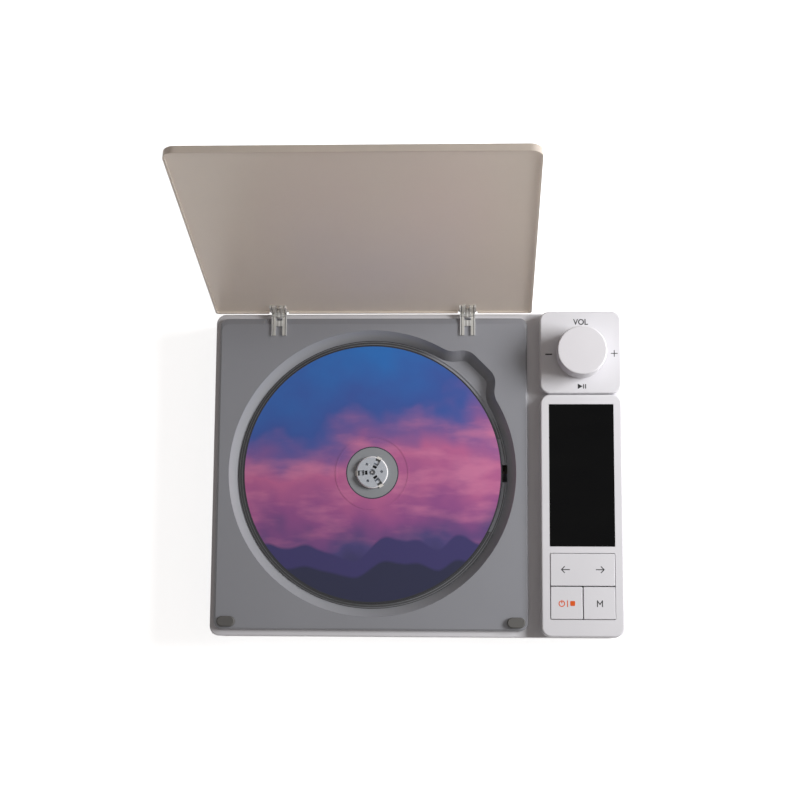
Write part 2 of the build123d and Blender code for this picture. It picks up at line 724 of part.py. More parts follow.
def make_sled():
    x = disc_x + sled_rest
    body = slab(x - sled_half, x + sled_half, disc_y - sled_front, disc_y + sled_rear,
                sled_bottom, sled_top, 1.5)
    bush = block(x - sled_half, x + sled_half, disc_y + main_rod_y - 2.7, disc_y - sled_front,
                 rod_z - 2.7, rod_z + 2.7)
    bush -= bar_x(x - sled_half, x + sled_half, disc_y + main_rod_y, rod_z, rod_r + run_gap)
    fork = block(x - 5, x + 5, disc_y + sled_rear, disc_y + aux_rod_y + 2.2, rod_z - 2.7, rod_z + 2.7)
    fork -= block(x - 5, x + 5, disc_y + aux_rod_y - 2.2, disc_y + aux_rod_y + 2.2,
                  rod_z - rod_r - run_gap, rod_z + rod_r + run_gap)
    sled = body + bush + fork
    sled += block(x - sled_half, x + sled_half, disc_y + rack_y + 2.5, disc_y + main_rod_y - 2.7,
                  rack_z, rack_z + rack_t)
    return sled + post(x + lens_pin_x, disc_y, sled_top, sled_top + lens_pin_h, lens_pin_r)


def make_lens():
    """Lens holder on its focus pin, with the objective lens's dome."""
    x = disc_x + sled_rest
    z0 = sled_top + lens_travel + 0.3
    plate = slab(x - 3.6, x + 6.6, disc_y - 3.4, disc_y + 3.4, z0, z0 + 1.0, 1.5)
    collar = post(x, disc_y, z0 + 1.0, z0 + 2.6, 3.2)
    collar = chamfer(upright_edges(collar, z0 + 2.6), 0.4)
    collar -= post(x, disc_y, z0 + 2.2, z0 + 2.6, 2.2)
    dome = Pos(x, disc_y, z0 + 2.2 - 3.0) * Sphere(3.9) & post(x, disc_y, z0 + 2.2, z0 + 3.1, 2.2)
    holder = plate + collar + dome
    return holder - post(x + lens_pin_x, disc_y, z0, z0 + 1.0, lens_pin_r + run_gap)


def involute_gear(teeth, z0, z1, turn):
    """A spur gear round the origin, one tooth centred on the angle turn (degrees)."""
    pitch = gear_module * teeth / 2
    base = pitch * cos(radians(20))
    tip = pitch + 0.9 * gear_module
    root = pitch - 1.25 * gear_module
    half_tooth = (pi * gear_module - tooth_play) / (4 * pitch)
    involute = tan(radians(20)) - radians(20)
    flank = []
    for step in range(5):
        r = max(base, root) + (tip - max(base, root)) * step / 4
        roll = acos(min(1.0, base / r))
        flank.append((r, half_tooth + involute - (tan(roll) - roll)))
    gear = post(0, 0, z0, z1, root)
    for tooth in range(teeth):
        middle = radians(turn) + 2 * pi * tooth / teeth
        foot = (root - 0.2, flank[0][1])
        side = [foot] + flank
        points = [(r * cos(middle - a), r * sin(middle - a)) for r, a in side]
        points += [(r * cos(middle + a), r * sin(middle + a)) for r, a in reversed(side)]
        face = make_face(Polyline(*points, points[0]))
        gear += Pos(0, 0, z0) * extrude(face, z1 - z0)
    return gear


def make_sled_gear():
    wheel = involute_gear(wheel_teeth, wheel_z, pinion_z, 0)
    pinion = involute_gear(pinion_teeth, pinion_z, pinion_z + pinion_t, 90)
    gear = wheel + pinion - post(0, 0, wheel_z, pinion_z + pinion_t, 0.8 + run_gap)
    return Pos(disc_x + gear_x, disc_y + gear_y, 0) * gear


def make_gear_post():
    x = disc_x + gear_x
    y = disc_y + gear_y
    pin = post(x, y, chassis_z, pinion_z + pinion_t + 0.2, 0.8)
    return pin + post(x, y, pinion_z + pinion_t + 0.2, pinion_z + pinion_t + 0.7, 1.4)


def make_motor_pinion():
    pinion = involute_gear(motor_teeth, wheel_z - 0.1, pinion_z + 0.4, 180.0 / motor_teeth)
    pinion += post(0, 0, chassis_z - 4.0, pinion_z + 0.8, 0.6)
    return Pos(disc_x + motor_x, disc_y + gear_y, 0) * pinion


def make_sled_motor():
    x = disc_x + motor_x
    y = disc_y + gear_y
    can = fillet(upright_edges(post(x, y, chassis_z - 6.0, chassis_z, sled_can_r), chassis_z - 6.0), 0.8)
    can += post(x, y, chassis_z, chassis_top, 2.2)
    return can - post(x, y, chassis_z - 4.2, chassis_top, 0.6 + run_gap)


def make_rack():
    """Toothed bar on the sled, long enough to stay in mesh over the travel."""
    pitch = pi * gear_module
    x0 = gear_x - sled_travel - 3.0
    x1 = gear_x + 3.0
    root = rack_y + 1.25 * gear_module
    back = rack_y + 2.5
    rack = block(x0, x1, root, back, rack_z, rack_z + rack_t)
    first = int((x0 - gear_x) / pitch) + 0.5
    count = int((x1 - x0) / pitch) - 1
    half_root = (pitch - tooth_play) / 4 + 1.25 * gear_module * tan(radians(20))
    half_tip = (pitch - tooth_play) / 4 - 0.9 * gear_module * tan(radians(20))
    tip = rack_y - 0.9 * gear_module
    for tooth in range(count):
        x = gear_x + (first + tooth) * pitch
        outline = Polyline((x - half_root, root + 0.1), (x - half_root, root), (x - half_tip, tip),
                           (x + half_tip, tip), (x + half_root, root), (x + half_root, root + 0.1),
                           (x - half_root, root + 0.1))
        rack += Pos(0, 0, rack_z) * extrude(make_face(outline), rack_t)
    return Pos(disc_x, disc_y, 0) * rack


# ---- control strip ----
def panel_shell(y0, y1):
    shell = slab(block_left, right, y0, y1, ledge_z, panel_top, block_corner_r)
    shell = fillet(upright_edges(shell, panel_top), block_edge_r)
    shell -= slab(block_left + block_wall, right - block_wall, y0 + block_wall, y1 - block_wall,
                  ledge_z, panel_in, block_corner_r - block_wall)
    for x, y in panel_screw_places:
        if y0 < y < y1:
            shell += post(x, y, ledge_z, panel_in, 2.3)
            shell -= post(x, y, ledge_z, panel_in, screw_r)
    return shell


def make_knob_panel():
    panel = panel_shell(knob_block_bottom, knob_block_top)
    return panel - post(knob_x, knob_y, panel_in, panel_top, encoder_shaft_r + 0.5)


def make_display_panel():
    panel = panel_shell(display_bottom, display_top)
    half_w = screen_w / 2 + 0.05
    half_h = screen_h / 2 + 0.05
    seat = panel_top - screen_sunk - screen_t
    panel -= block(block_x - half_w, block_x + half_w, screen_y - half_h, screen_y + half_h, seat, panel_top)
    half_w -= screen_lip
    half_h -= screen_lip
    panel -= block(block_x - half_w, block_x + half_w, screen_y - half_h, screen_y + half_h, panel_in, seat)
    half_w = keys_w / 2 + key_gap
    panel -= slab(block_x - half_w, block_x + half_w, keys_top - 2 * key_h - key_seam - key_gap,
                  keys_top + key_gap, panel_in, panel_top, 0.8)
    return panel


def make_screen_glass():
    z0 = panel_top - screen_sunk - screen_t
    return slab(block_x - screen_w / 2, block_x + screen_w / 2, screen_y - screen_h / 2,
                screen_y + screen_h / 2, z0, z0 + screen_t, 0.6)


def make_display_module():
    z1 = panel_top - screen_sunk - screen_t
    half_w = screen_w / 2 - screen_lip - 0.1
    half_h = screen_h / 2 - screen_lip - 0.1
    return block(block_x - half_w, block_x + half_w, screen_y - half_h, screen_y + half_h, z1 - lcd_t, z1)


def make_display_ribbon():
    z1 = panel_top - screen_sunk - screen_t - lcd_t
    y = screen_y - screen_h / 2 + 6.0
    return block(block_x - 7, block_x + 7, y, y + ribbon_t, board_top, z1)


def key_cap(x0, x1, y_mid, stems, open_left, open_right, open_top, open_bottom):
    """A key with a retaining flange on its outer sides and a stem over each switch."""
    y0 = y_mid - key_h / 2
    y1 = y_mid + key_h / 2
    cap = slab(x0, x1, y0, y1, key_z, key_top, 0.5)
    cap = fillet(upright_edges(cap, key_top), key_edge_r)
    z1 = panel_in - key_flange_gap
    reach = key_flange + key_gap
    flange = block(x0 - reach * open_left, x1 + reach * open_right, y0 - reach * open_bottom,
                   y1 + reach * open_top, z1 - key_flange_t, z1)
    cap = cap + flange
    for x in stems:
        cap += block(x - stem_w / 2, x + stem_w / 2, y_mid - stem_w / 2, y_mid + stem_w / 2,
                     stem_z, z1)
    return cap


def make_track_rocker():
    half = keys_w / 2
    cap = key_cap(block_x - half, block_x + half, rocker_y,
                  (block_x - switch_dx, block_x + switch_dx), 1, 1, 1, 0)
    hub = block(block_x - 2.2, block_x + 2.2, rocker_y - 5, rocker_y + 5, rocker_axis_z - 0.2, key_z + 0.1)
    cap = cap + hub
    return cap - bar_y(block_x, rocker_y - 8, rocker_y + 8, rocker_axis_z, 1.0 + run_gap)


def make_rocker_pivot():
    base = block(block_x - 3.2, block_x + 3.2, rocker_y - 6.8, rocker_y + 6.8, board_top, board_top + 1.0)
    pivot = base + bar_y(block_x, rocker_y - 6.8, rocker_y + 6.8, rocker_axis_z, 1.0)
    for sy in (-1, 1):
        y = rocker_y + sy * 6.1
        pivot += block(block_x - 1.6, block_x + 1.6, y - 0.7, y + 0.7, board_top, rocker_axis_z)
    return pivot


def make_power_button():
    x0 = block_x - keys_w / 2
    return key_cap(x0, block_x - key_seam / 2, key_row_y, (block_x - switch_dx,), 1, 0, 0, 1)


def make_mode_button():
    x1 = block_x + keys_w / 2
    return key_cap(block_x + key_seam / 2, x1, key_row_y, (block_x + switch_dx,), 0, 1, 0, 1)


def make_tact_switches():
    switches = []
    for y in (rocker_y, key_row_y):
        for x in (block_x - switch_dx, block_x + switch_dx):
            base = block(x - switch_w / 2, x + switch_w / 2, y - switch_w / 2, y + switch_w / 2,
                         board_top, board_top + switch_t)
            switches.append(base + post(x, y, board_top + switch_t, switch_top, switch_tip_r))
    return Compound(children=switches)


def make_volume_knob():
    z1 = knob_z + knob_h
    knob = post(knob_x, knob_y, knob_z, z1, knob_r)
    knob = fillet(upright_edges(knob, z1), knob_edge_r)
    knob = chamfer(upright_edges(knob, knob_z), 0.4)
    hollow = post(knob_x, knob_y, knob_z, z1 - 3.0, knob_r - knob_wall)
    hollow -= post(knob_x, knob_y, knob_z, z1 - 3.0, encoder_shaft_r + 1.6)
    knob -= hollow
    return knob - post(knob_x, knob_y, knob_z, z1 - 3.0, encoder_shaft_r)


def make_encoder_shaft():
    shaft = post(knob_x, knob_y, encoder_floor + knob_press + 0.2, knob_z + knob_h - 3.0, encoder_shaft_r)
    return shaft


def make_encoder_body():
    half = encoder_w / 2
    body = slab(knob_x - half, knob_x + half, knob_y - half, knob_y + half,
                board_top, board_top + encoder_h, 0.8)
    body += post(knob_x, knob_y, board_top + encoder_h, panel_in, encoder_shaft_r + 1.0)
    body -= post(knob_x, knob_y, encoder_floor, panel_in, encoder_shaft_r + run_gap)
    body -= post(knob_x, knob_y, rotor_z - 0.1, rotor_z + rotor_t + 0.1, rotor_r + 0.1)
    return body


def make_encoder_rotor():
    rotor = post(knob_x, knob_y, rotor_z, rotor_z + rotor_t, rotor_r)
    return rotor - post(knob_x, knob_y, rotor_z, rotor_z + rotor_t, encoder_shaft_r + run_gap)


# ---- boards, ports and power ----
def make_control_board():
    board = slab(board_left, board_left + board_w, board_front, board_rear, board_z, board_top, 1.0)
    for x, y in board_screw_places:
        board -= post(x, y, board_z, board_top, screw_r + 0.1)
    for x, y in cover_screw_places:
        board -= post(x, y, board_z, board_top, post_r + 0.6)
    return board


def make_board_screws():
    screws = [screw(x, y, board_z - head_h, skin_z + 0.8) for x, y in board_screw_places]
    screws += [screw(x, y, main_board_z + pcb_t + head_h, cover_t + 0.6) for x, y in main_board_posts]
    return Compound(children=screws)


def make_usb_socket():
    x = port_places[0]
    z = board_z - usb_h / 2
    body = block(x - usb_w / 2, x + usb_w / 2, front + wall_t - 1.0, front + wall_t - 1.0 + usb_len,
                 z - usb_h / 2, z + usb_h / 2)
    body = fillet([e for e in body.edges().filter_by(Axis.Y)], 1.2)
    mouth = Plane.XZ * SlotOverall(usb_w - 0.6, usb_h - 0.6)
    body -= Pos(x, front + wall_t - 1.0 + usb_len - 1.2, z) * extrude(mouth, usb_len - 1.2)
    tongue = block(x - 3.3, x + 3.3, front + wall_t + 0.4, front + wall_t + usb_len - 2.2, z - 0.35, z + 0.35)
    return body + tongue


def make_audio_jack():
    x = port_places[1]
    z = board_z - jack_h / 2
    y0 = front + wall_t + 0.2
    body = block(x - jack_w / 2, x + jack_w / 2, y0, y0 + jack_len, z - jack_h / 2, z + jack_h / 2)
    body += bar_y(x, front + 0.2, y0, z, jack_nose_r)
    return body - bar_y(x, front + 0.2, front + 0.2 + jack_len, z, jack_r)


def make_battery():
    """Battery pack, half way between the front wall and the mechanism."""
    y0 = (front + wall_t + chassis_y0 - battery_h) / 2
    return slab(battery_left, battery_left + battery_w, y0, y0 + battery_h, cover_t, cover_t + battery_t, 1.5)


def make_main_board():
    board = slab(main_left, main_left + main_board_w, main_front, main_front + main_board_h,
                 main_board_z, main_board_z + pcb_t, 1.5)
    for x, y in main_board_posts:
        board -= post(x, y, main_board_z, main_board_z + pcb_t, screw_r + 0.1)
    return board


def make_board_parts():
    """Chips, can capacitors and the connectors of the main board."""
    z0 = main_board_z + pcb_t
    x = main_left
    y = main_front
    parts = []
    for share_x, share_y, size in chips:
        chip_x = x + main_board_w * share_x
        chip_y = y + main_board_h * share_y
        parts.append(block(chip_x, chip_x + size, chip_y, chip_y + size, z0, z0 + chip_t))
    parts += [post(x + main_board_w * share, y + main_board_h * 0.14, z0, z0 + can_h, can_r)
              for share in (0.2, 0.38, 0.56)]
    parts.append(block(ribbon_x0, ribbon_x0 + plug_w, ribbon_y0, ribbon_y0 + ribbon_w + 1, z0, z0 + 2.0))
    parts.append(block(lead_x - plug_w, lead_x, lead_y - 2.5, lead_y + 2.5, z0, z0 + 2.4))
    return Compound(children=parts)


def make_board_ribbon():
    """Flat cable from the main board, along the rear cover, up to the control board."""
    z_high = main_board_z + pcb_t + 1.0
    z_low = cover_t + ribbon_t / 2
    x_end = board_left + 2.0
    x_down = main_left + main_board_w + 2.5
    path = FilletPolyline((ribbon_x0 + plug_w, z_high), (x_down, z_high), (x_down, z_low), (x_end, z_low),
                          (x_end, board_z), radius=1.0)
    strip = trace(path, ribbon_t)
    strip = Plane.XZ * strip
    ribbon = extrude(strip, ribbon_w, dir=(0, 1, 0))
    return Pos(0, ribbon_y0 + 0.5, 0) * ribbon


def make_battery_lead():
    """The battery's two wires, side by side, to the main board's connector."""
    z0 = cover_t + battery_t / 2
    z1 = main_board_z + pcb_t + 1.2
    x1 = battery_left
    wires = []
    for i in range(2):
        y = lead_y - 0.9 + 1.8 * i
        path = FilletPolyline((x1, y, z0), (x1 - 1.6, y, z0), (x1 - 3.2, y, z1), (lead_x, y, z1), radius=0.5)
        wires.append(sweep(Plane(origin=(x1, y, z0), z_dir=(-1, 0, 0)) * Circle(0.6), path=path))
    return Compound(children=wires)


# ---- fixings ----
def make_cover_screws():
    return Compound(children=[screw(x, y, 0, cover_t + cover_screw_bite) for x, y in cover_screw_places])


def make_deck_screws():
    head = skin_z - 2.0 - head_h
    return Compound(children=[screw(x, y, head, ledge_z) for x, y in deck_screw_places])


def make_panel_screws():
    head, tip = skin_z - head_h, ledge_z + panel_screw_bite
    return Compound(children=[screw(x, y, head, tip) for x, y in panel_screw_places])


def make_feet():
    pads = []
    for x, y in corners(foot_inset, foot_inset):
        pads.append(chamfer(upright_edges(post(x, y, 0, foot_t, foot_r), 0), 0.2))
    return Compound(children=pads)


# ---- places that several pieces share ----
encoder_floor = board_top + 0.8
rotor_z = board_top + 2.6
rocker_axis_z = board_top + 4.2
main_left = left + wall_t + 1.5
main_front = front + wall_t + main_board_in
window_half = block_w / 2 - 4.9
main_board_posts = [(main_left + dx, main_front + dy) for dx in (3.5, main_board_w - 3.5)
                    for dy in (3.5, main_board_h - 3.5)]
ribbon_x0 = main_left + main_board_w - plug_w - 1.0
ribbon_y0 = disc_y + 1.0
battery_left = main_left + main_board_w + 3.4
lead_x = main_left + main_board_w - 6.7
lead_y = main_front + 9.0
port_places = (block_x + 5.7, block_x - 8.0)

parts = {
    "rear_cover": make_rear_cover(),
    "front_frame": make_front_frame(),
    "deck": make_deck(),
    "mechanism_cover": make_mechanism_cover(),
    "lid_bumpers": make_lid_bumpers(),
    "lid": make_lid(),
    "left_hinge_leaf": make_hinge_leaf(hinge_places[0]),
    "right_hinge_leaf": make_hinge_leaf(hinge_places[1]),
    "left_hinge_clip": make_hinge_clip(hinge_places[0]),
    "right_hinge_clip": make_hinge_clip(hinge_places[1]),
    "hinge_pins": make_hinge_pins(),
    "disc": make_disc(),
    "turntable": make_turntable(),
    "turntable_pad": make_turntable_pad(),
    "hub_cap": make_hub_cap(),
    "spindle_shaft": make_spindle_shaft(),
    "spindle_motor": make_spindle_motor(),
    "mechanism_chassis": make_chassis(),
    "chassis_dampers": make_dampers(),
    "damper_screws": make_damper_screws(),
    "guide_rods": make_guide_rods(),
    "rod_holders": make_rod_holders(),
    "pickup_sled": make_sled(),
    "pickup_lens": make_lens(),
    "sled_rack": make_rack(),
    "sled_gear": make_sled_gear(),
    "gear_post": make_gear_post(),
    "motor_pinion": make_motor_pinion(),
    "sled_motor": make_sled_motor(),
    "knob_panel": make_knob_panel(),
    "display_panel": make_display_panel(),
    "screen_glass": make_screen_glass(),
    "display_module": make_display_module(),
    "display_ribbon": make_display_ribbon(),
    "track_rocker": make_track_rocker(),
    "rocker_pivot": make_rocker_pivot(),
    "power_button": make_power_button(),
    "mode_button": make_mode_button(),
    "tact_switches": make_tact_switches(),
    "volume_knob": make_volume_knob(),
    "encoder_shaft": make_encoder_shaft(),
    "encoder_body": make_encoder_body(),
    "encoder_rotor": make_encoder_rotor(),
    "control_board": make_control_board(),
    "board_screws": make_board_screws(),
    "usb_socket": make_usb_socket(),
    "audio_jack": make_audio_jack(),
    "battery": make_battery(),
    "battery_lead": make_battery_lead(),
    "main_board": make_main_board(),
    "board_parts": make_board_parts(),
    "board_ribbon": make_board_ribbon(),
    "cover_screws": make_cover_screws(),
    "deck_screws": make_deck_screws(),
    "panel_screws": make_panel_screws(),
    "rubber_feet": make_feet(),
}
for number, angle in enumerate(claw_angles, start=1):
    parts[f"hub_claw_{number}"] = make_claw(angle)

os.makedirs("parts", exist_ok=True)
for name, shape in parts.items():
    export_step(shape, f"parts/{name}.step")
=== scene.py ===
import bpy
import bmesh
from math import atan2, cos, radians, sin, sqrt
from mathutils import Matrix, Vector


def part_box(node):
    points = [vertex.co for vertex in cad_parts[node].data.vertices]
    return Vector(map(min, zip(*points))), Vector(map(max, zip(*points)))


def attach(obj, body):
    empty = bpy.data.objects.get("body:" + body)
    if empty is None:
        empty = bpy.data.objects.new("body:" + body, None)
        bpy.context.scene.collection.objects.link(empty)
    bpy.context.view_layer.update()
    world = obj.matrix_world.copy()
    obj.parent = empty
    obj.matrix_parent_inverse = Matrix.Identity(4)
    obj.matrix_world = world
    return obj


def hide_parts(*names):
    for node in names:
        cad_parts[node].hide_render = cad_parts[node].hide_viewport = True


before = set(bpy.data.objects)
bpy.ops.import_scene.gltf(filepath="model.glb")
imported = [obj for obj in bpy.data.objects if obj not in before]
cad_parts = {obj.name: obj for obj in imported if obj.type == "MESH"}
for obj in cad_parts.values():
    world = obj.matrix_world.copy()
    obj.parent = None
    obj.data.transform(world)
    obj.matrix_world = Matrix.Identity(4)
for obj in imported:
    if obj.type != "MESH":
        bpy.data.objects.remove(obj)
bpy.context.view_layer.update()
bpy.ops.object.select_all(action="DESELECT")
mm = 0.001


# The table the player lies on, the soft studio light and the camera above it.
# The table is a plain pale sheet, open under the rear cover and clear from below; a soft
# lamp stands at the right of the player, and the white room fills in, more from that side.
def srgb(r, g, b):
    """A colour from its 0 to 255 values."""
    return tuple(((v / 255 + 0.055) / 1.055) ** 2.4 if v > 10 else v / 255 / 12.92 for v in (r, g, b)) + (1.0,)


def add_node(tree, kind, inputs=None, **settings):
    """A new node with its settings and its inputs, each a value or a socket to link from."""
    node = tree.nodes.new(kind)
    for name, value in settings.items():
        setattr(node, name, value)
    for key, value in (inputs or {}).items():
        if isinstance(value, bpy.types.NodeSocket):
            tree.links.new(value, node.inputs[key])
        else:
            node.inputs[key].default_value = value
    return node


def arithmetic(tree, operation, first, second):
    """One sum on two values, each a socket or a number."""
    return add_node(tree, "ShaderNodeMath", {0: first, 1: second}, operation=operation).outputs[0]


def spread(tree, source, low, high, start=0.0, end=1.0):
    """A value that runs from start to end, spread from low to high."""
    limits = {"Value": source, "From Min": start, "From Max": end, "To Min": low, "To Max": high}
    return add_node(tree, "ShaderNodeMapRange", limits).outputs["Result"]


def mixed_shader(tree, share, first, second):
    """Two shaders mixed by a share."""
    return add_node(tree, "ShaderNodeMixShader", {"Fac": share, 1: first, 2: second}).outputs[0]


def empty_material(name):
    """A node material without nodes, and its tree."""
    material = bpy.data.materials.new(name)
    material.use_nodes = True
    material.node_tree.nodes.clear()
    return material, material.node_tree


def seen_directly(tree):
    """1 for rays from the camera, off gloss and through glass, 0 for light falling on things."""
    rays = add_node(tree, "ShaderNodeLightPath").outputs
    either = arithmetic(tree, "MAXIMUM", rays["Is Camera Ray"], rays["Is Glossy Ray"])
    return arithmetic(tree, "MAXIMUM", either, rays["Is Transmission Ray"])


def pick_faces(piece, keep):
    """Leaves just the faces selected that keep(face) says, in edit mode."""
    bpy.ops.object.mode_set(mode="EDIT")
    bpy.ops.mesh.select_mode(type="FACE")
    bpy.ops.mesh.select_all(action="DESELECT")
    shape = bmesh.from_edit_mesh(piece.data)
    for face in shape.faces:
        face.select_set(keep(face))
    bmesh.update_edit_mesh(piece.data)


world = bpy.data.worlds.new("room")
bpy.context.scene.world = world
world.use_nodes = True
room = world.node_tree
room.nodes.clear()
room_way = add_node(room, "ShaderNodeTexCoord").outputs["Generated"]
to_right = add_node(room, "ShaderNodeSeparateXYZ", {0: room_way}).outputs[0]
room_strength = spread(room, to_right, 0.04, 0.33, start=-1.0)
room_fill = add_node(room, "ShaderNodeBackground", {"Color": (1.0, 0.91, 0.86, 1.0), "Strength": room_strength})
room_white = add_node(room, "ShaderNodeBackground", {"Color": (1.0, 1.0, 1.0, 1.0), "Strength": 1.0})
room_surface = mixed_shader(room, seen_directly(room), room_fill.outputs[0], room_white.outputs[0])
add_node(room, "ShaderNodeOutputWorld", {"Surface": room_surface})

case_low, case_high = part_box("rear_cover")
table_size, table_drop, hole_edge = 6.0, 0.05 * mm, 3.0 * mm


def under_cover(face):
    """Says whether a face of the table lies under the rear cover."""
    middle = face.calc_center_median()
    return case_low.x < middle.x < case_high.x and case_low.y < middle.y < case_high.y


bpy.ops.mesh.primitive_plane_add(size=table_size, location=(0, 0, case_low.z - table_drop))
table = bpy.context.object
table.name = "table"
bpy.ops.object.mode_set(mode="EDIT")
for corner, way in ((case_low, 1), (case_high, -1)):
    for axis in ((1, 0, 0), (0, 1, 0)):
        bpy.ops.mesh.select_all(action="SELECT")
        bpy.ops.mesh.bisect(plane_co=corner + Vector((way, way, 0)) * hole_edge, plane_no=axis)
pick_faces(table, under_cover)
bpy.ops.mesh.delete(type="FACE")
bpy.ops.object.mode_set(mode="OBJECT")

sheet, tree = empty_material("table_sheet")
paint = add_node(tree, "ShaderNodeBsdfPrincipled", {"Base Color": srgb(240, 240, 240), "Roughness": 0.9})
glow = add_node(tree, "ShaderNodeEmission", {"Color": (1.0, 1.0, 1.0, 1.0), "Strength": 0.8})
dark = add_node(tree, "ShaderNodeEmission", {"Strength": 0.0})
shine = mixed_shader(tree, seen_directly(tree), dark.outputs[0], glow.outputs[0])
lit = add_node(tree, "ShaderNodeAddShader", {0: paint.outputs[0], 1: shine})
clear = add_node(tree, "ShaderNodeBsdfTransparent")
from_below = add_node(tree, "ShaderNodeNewGeometry").outputs["Backfacing"]
sheet_surface = mixed_shader(tree, from_below, lit.outputs[0], clear.outputs[0])
add_node(tree, "ShaderNodeOutputMaterial", {"Surface": sheet_surface})
table.data.materials.append(sheet)

lamp = bpy.data.objects.new("side_lamp", bpy.data.lights.new("side_lamp", "AREA"))
lamp.data.shape = "RECTANGLE"
lamp.data.size = 0.27
lamp.data.size_y = 0.16
lamp.data.energy = 3.15
lamp.data.color = (0.99, 0.995, 1.0)
lamp.location = (0.455, 0.085, 0.320)
lamp_goal = Vector((0, 0, 0.02))
lamp.rotation_euler = (Vector(lamp.location) - lamp_goal).to_track_quat("Z", "Y").to_euler()
bpy.context.collection.objects.link(lamp)

camera = bpy.data.objects.new("camera", bpy.data.cameras.new("camera"))
camera.data.sensor_width = 36.0
camera.data.lens = 73.96
camera.data.clip_start = 0.01
camera.location = (27.1 * mm, -81.34 * mm, 774.39 * mm)
camera.rotation_euler = (radians(8.72), radians(2.59), radians(0.39))
bpy.context.collection.objects.link(camera)
bpy.context.scene.camera = camera
bpy.context.scene.view_settings.view_transform = "Standard"


# The casing: the white front frame with its four walls, and the white rear cover.
# Both are injection moulded ABS with a fine satin texture from the mould; the cover
# is screwed to the frame from behind.
def object_place(tree, scale=(1, 1, 1), centre=(0, 0, 0)):
    """Object coordinates from a centre, scaled."""
    place = add_node(tree, "ShaderNodeTexCoord").outputs["Object"]
    moved = add_node(tree, "ShaderNodeVectorMath", {0: place, 1: centre}, operation="SUBTRACT")
    return add_node(tree, "ShaderNodeMapping", {"Vector": moved.outputs[0], "Scale": scale}).outputs["Vector"]


def noise(tree, place, scale, detail=2.0):
    """A cloudy value from 0 to 1."""
    cloud = add_node(tree, "ShaderNodeTexNoise", {"Vector": place, "Scale": scale, "Detail": detail})
    return cloud.outputs["Fac"]


def ramp(tree, source, stops, steps=False):
    """A value turned into a colour that runs, or steps, through (place, colour) stops."""
    band = tree.nodes.new("ShaderNodeValToRGB")
    while len(band.color_ramp.elements) < len(stops):
        band.color_ramp.elements.new(0.5)
    for element, (place, colour) in zip(band.color_ramp.elements, stops):
        element.position = place
        element.color = colour
    if steps:
        band.color_ramp.interpolation = "CONSTANT"
    tree.links.new(source, band.inputs["Fac"])
    return band.outputs["Color"]


def dimmed(colour, factor):
    """The same colour, darker or lighter."""
    return tuple(min(1.0, v * factor) for v in colour[:3]) + (1.0,)


def raised(tree, height, strength, distance):
    """The normals of a surface that a value raises."""
    bump = add_node(tree, "ShaderNodeBump", {"Height": height, "Strength": strength, "Distance": distance})
    return bump.outputs["Normal"]


def surface(tree, inputs):
    """The surface of a material: one Principled shader with these inputs."""
    shader = add_node(tree, "ShaderNodeBsdfPrincipled", inputs)
    add_node(tree, "ShaderNodeOutputMaterial", {"Surface": shader.outputs[0]})


def moulded(name, colour, roughness=0.42, grain=0.08, specular=0.4, coat=0.0, grain_scale=2600.0):
    """Moulded plastic: a fine texture from the mould, and faint flow shading in the colour."""
    material, tree = empty_material(name)
    place = object_place(tree)
    flow = noise(tree, place, 28.0, 3.0)
    spark = noise(tree, place, grain_scale)
    surface(tree, {"Base Color": ramp(tree, flow, [(0.3, dimmed(colour, 0.97)), (0.7, dimmed(colour, 1.02))]),
                   "Roughness": spread(tree, spark, roughness - 0.05, roughness + 0.05),
                   "Normal": raised(tree, spark, grain, 0.0001),
                   "Specular IOR Level": specular,
                   "Coat Weight": coat})
    return material


def dress(material, *nodes):
    """Puts a finish on nodes that come from the built model."""
    for node in nodes:
        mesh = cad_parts[node].data
        mesh.materials.clear()
        mesh.materials.append(material)


case_white = moulded("case_white", srgb(222, 221, 225), roughness=0.45)
dress(case_white, "front_frame", "rear_cover")


# The rubber pads let in flush with the rear cover, the grommets that carry the disc
# mechanism and the ring on the turntable. Black moulded rubber, with a fine rib.
def ribbed_rubber(name, colour, rib):
    """Matt rubber with shallow ribs at the given pitch."""
    material, tree = empty_material(name)
    place = object_place(tree)
    dust = noise(tree, place, 160.0, 4.0)
    rib_bumps_and_painted_stripes = add_node(tree, "ShaderNodeTexWave", {"Vector": place, "Scale": 1.0 / rib / 3.14, "Distortion": 0.0})
    surface(tree, {"Base Color": ramp(tree, dust, [(0.35, colour), (0.75, dimmed(colour, 1.35))]),
                   "Roughness": spread(tree, dust, 0.7, 0.9),
                   "Normal": raised(tree, rib_bumps_and_painted_stripes.outputs["Fac"], 0.5, 0.0002),
                   "Specular IOR Level": 0.2})
    return material


pad_rubber = ribbed_rubber("pad_rubber", srgb(44, 42, 41), 0.6 * mm)
dress(pad_rubber, "rubber_feet", "chassis_dampers", "turntable_pad")


# The screws, rods, shafts, motor cans and the pressed chassis of the mechanism.
# Zinc plated steel, with the fine marks of turning and pressing.
def plated(name, colour, roughness=0.28):
    """Plated steel with fine turning marks."""
    material, tree = empty_material(name)
    marks = noise(tree, object_place(tree, scale=(1, 1, 4)), 900.0, 4.0)
    surface(tree, {"Base Color": ramp(tree, marks, [(0.3, dimmed(colour, 0.86)), (0.7, colour)]),
                   "Roughness": spread(tree, marks, roughness - 0.08, roughness + 0.12),
                   "Metallic": 1.0})
    return material


zinc_colour = srgb(196, 197, 199)
zinc_plate = plated("zinc_plate", zinc_colour)
dress(zinc_plate, "deck_screws", "panel_screws", "board_screws", "damper_screws", "hinge_pins",
      "spindle_motor", "mechanism_chassis", "guide_rods", "gear_post", "sled_motor",
      "encoder_shaft", "usb_socket")


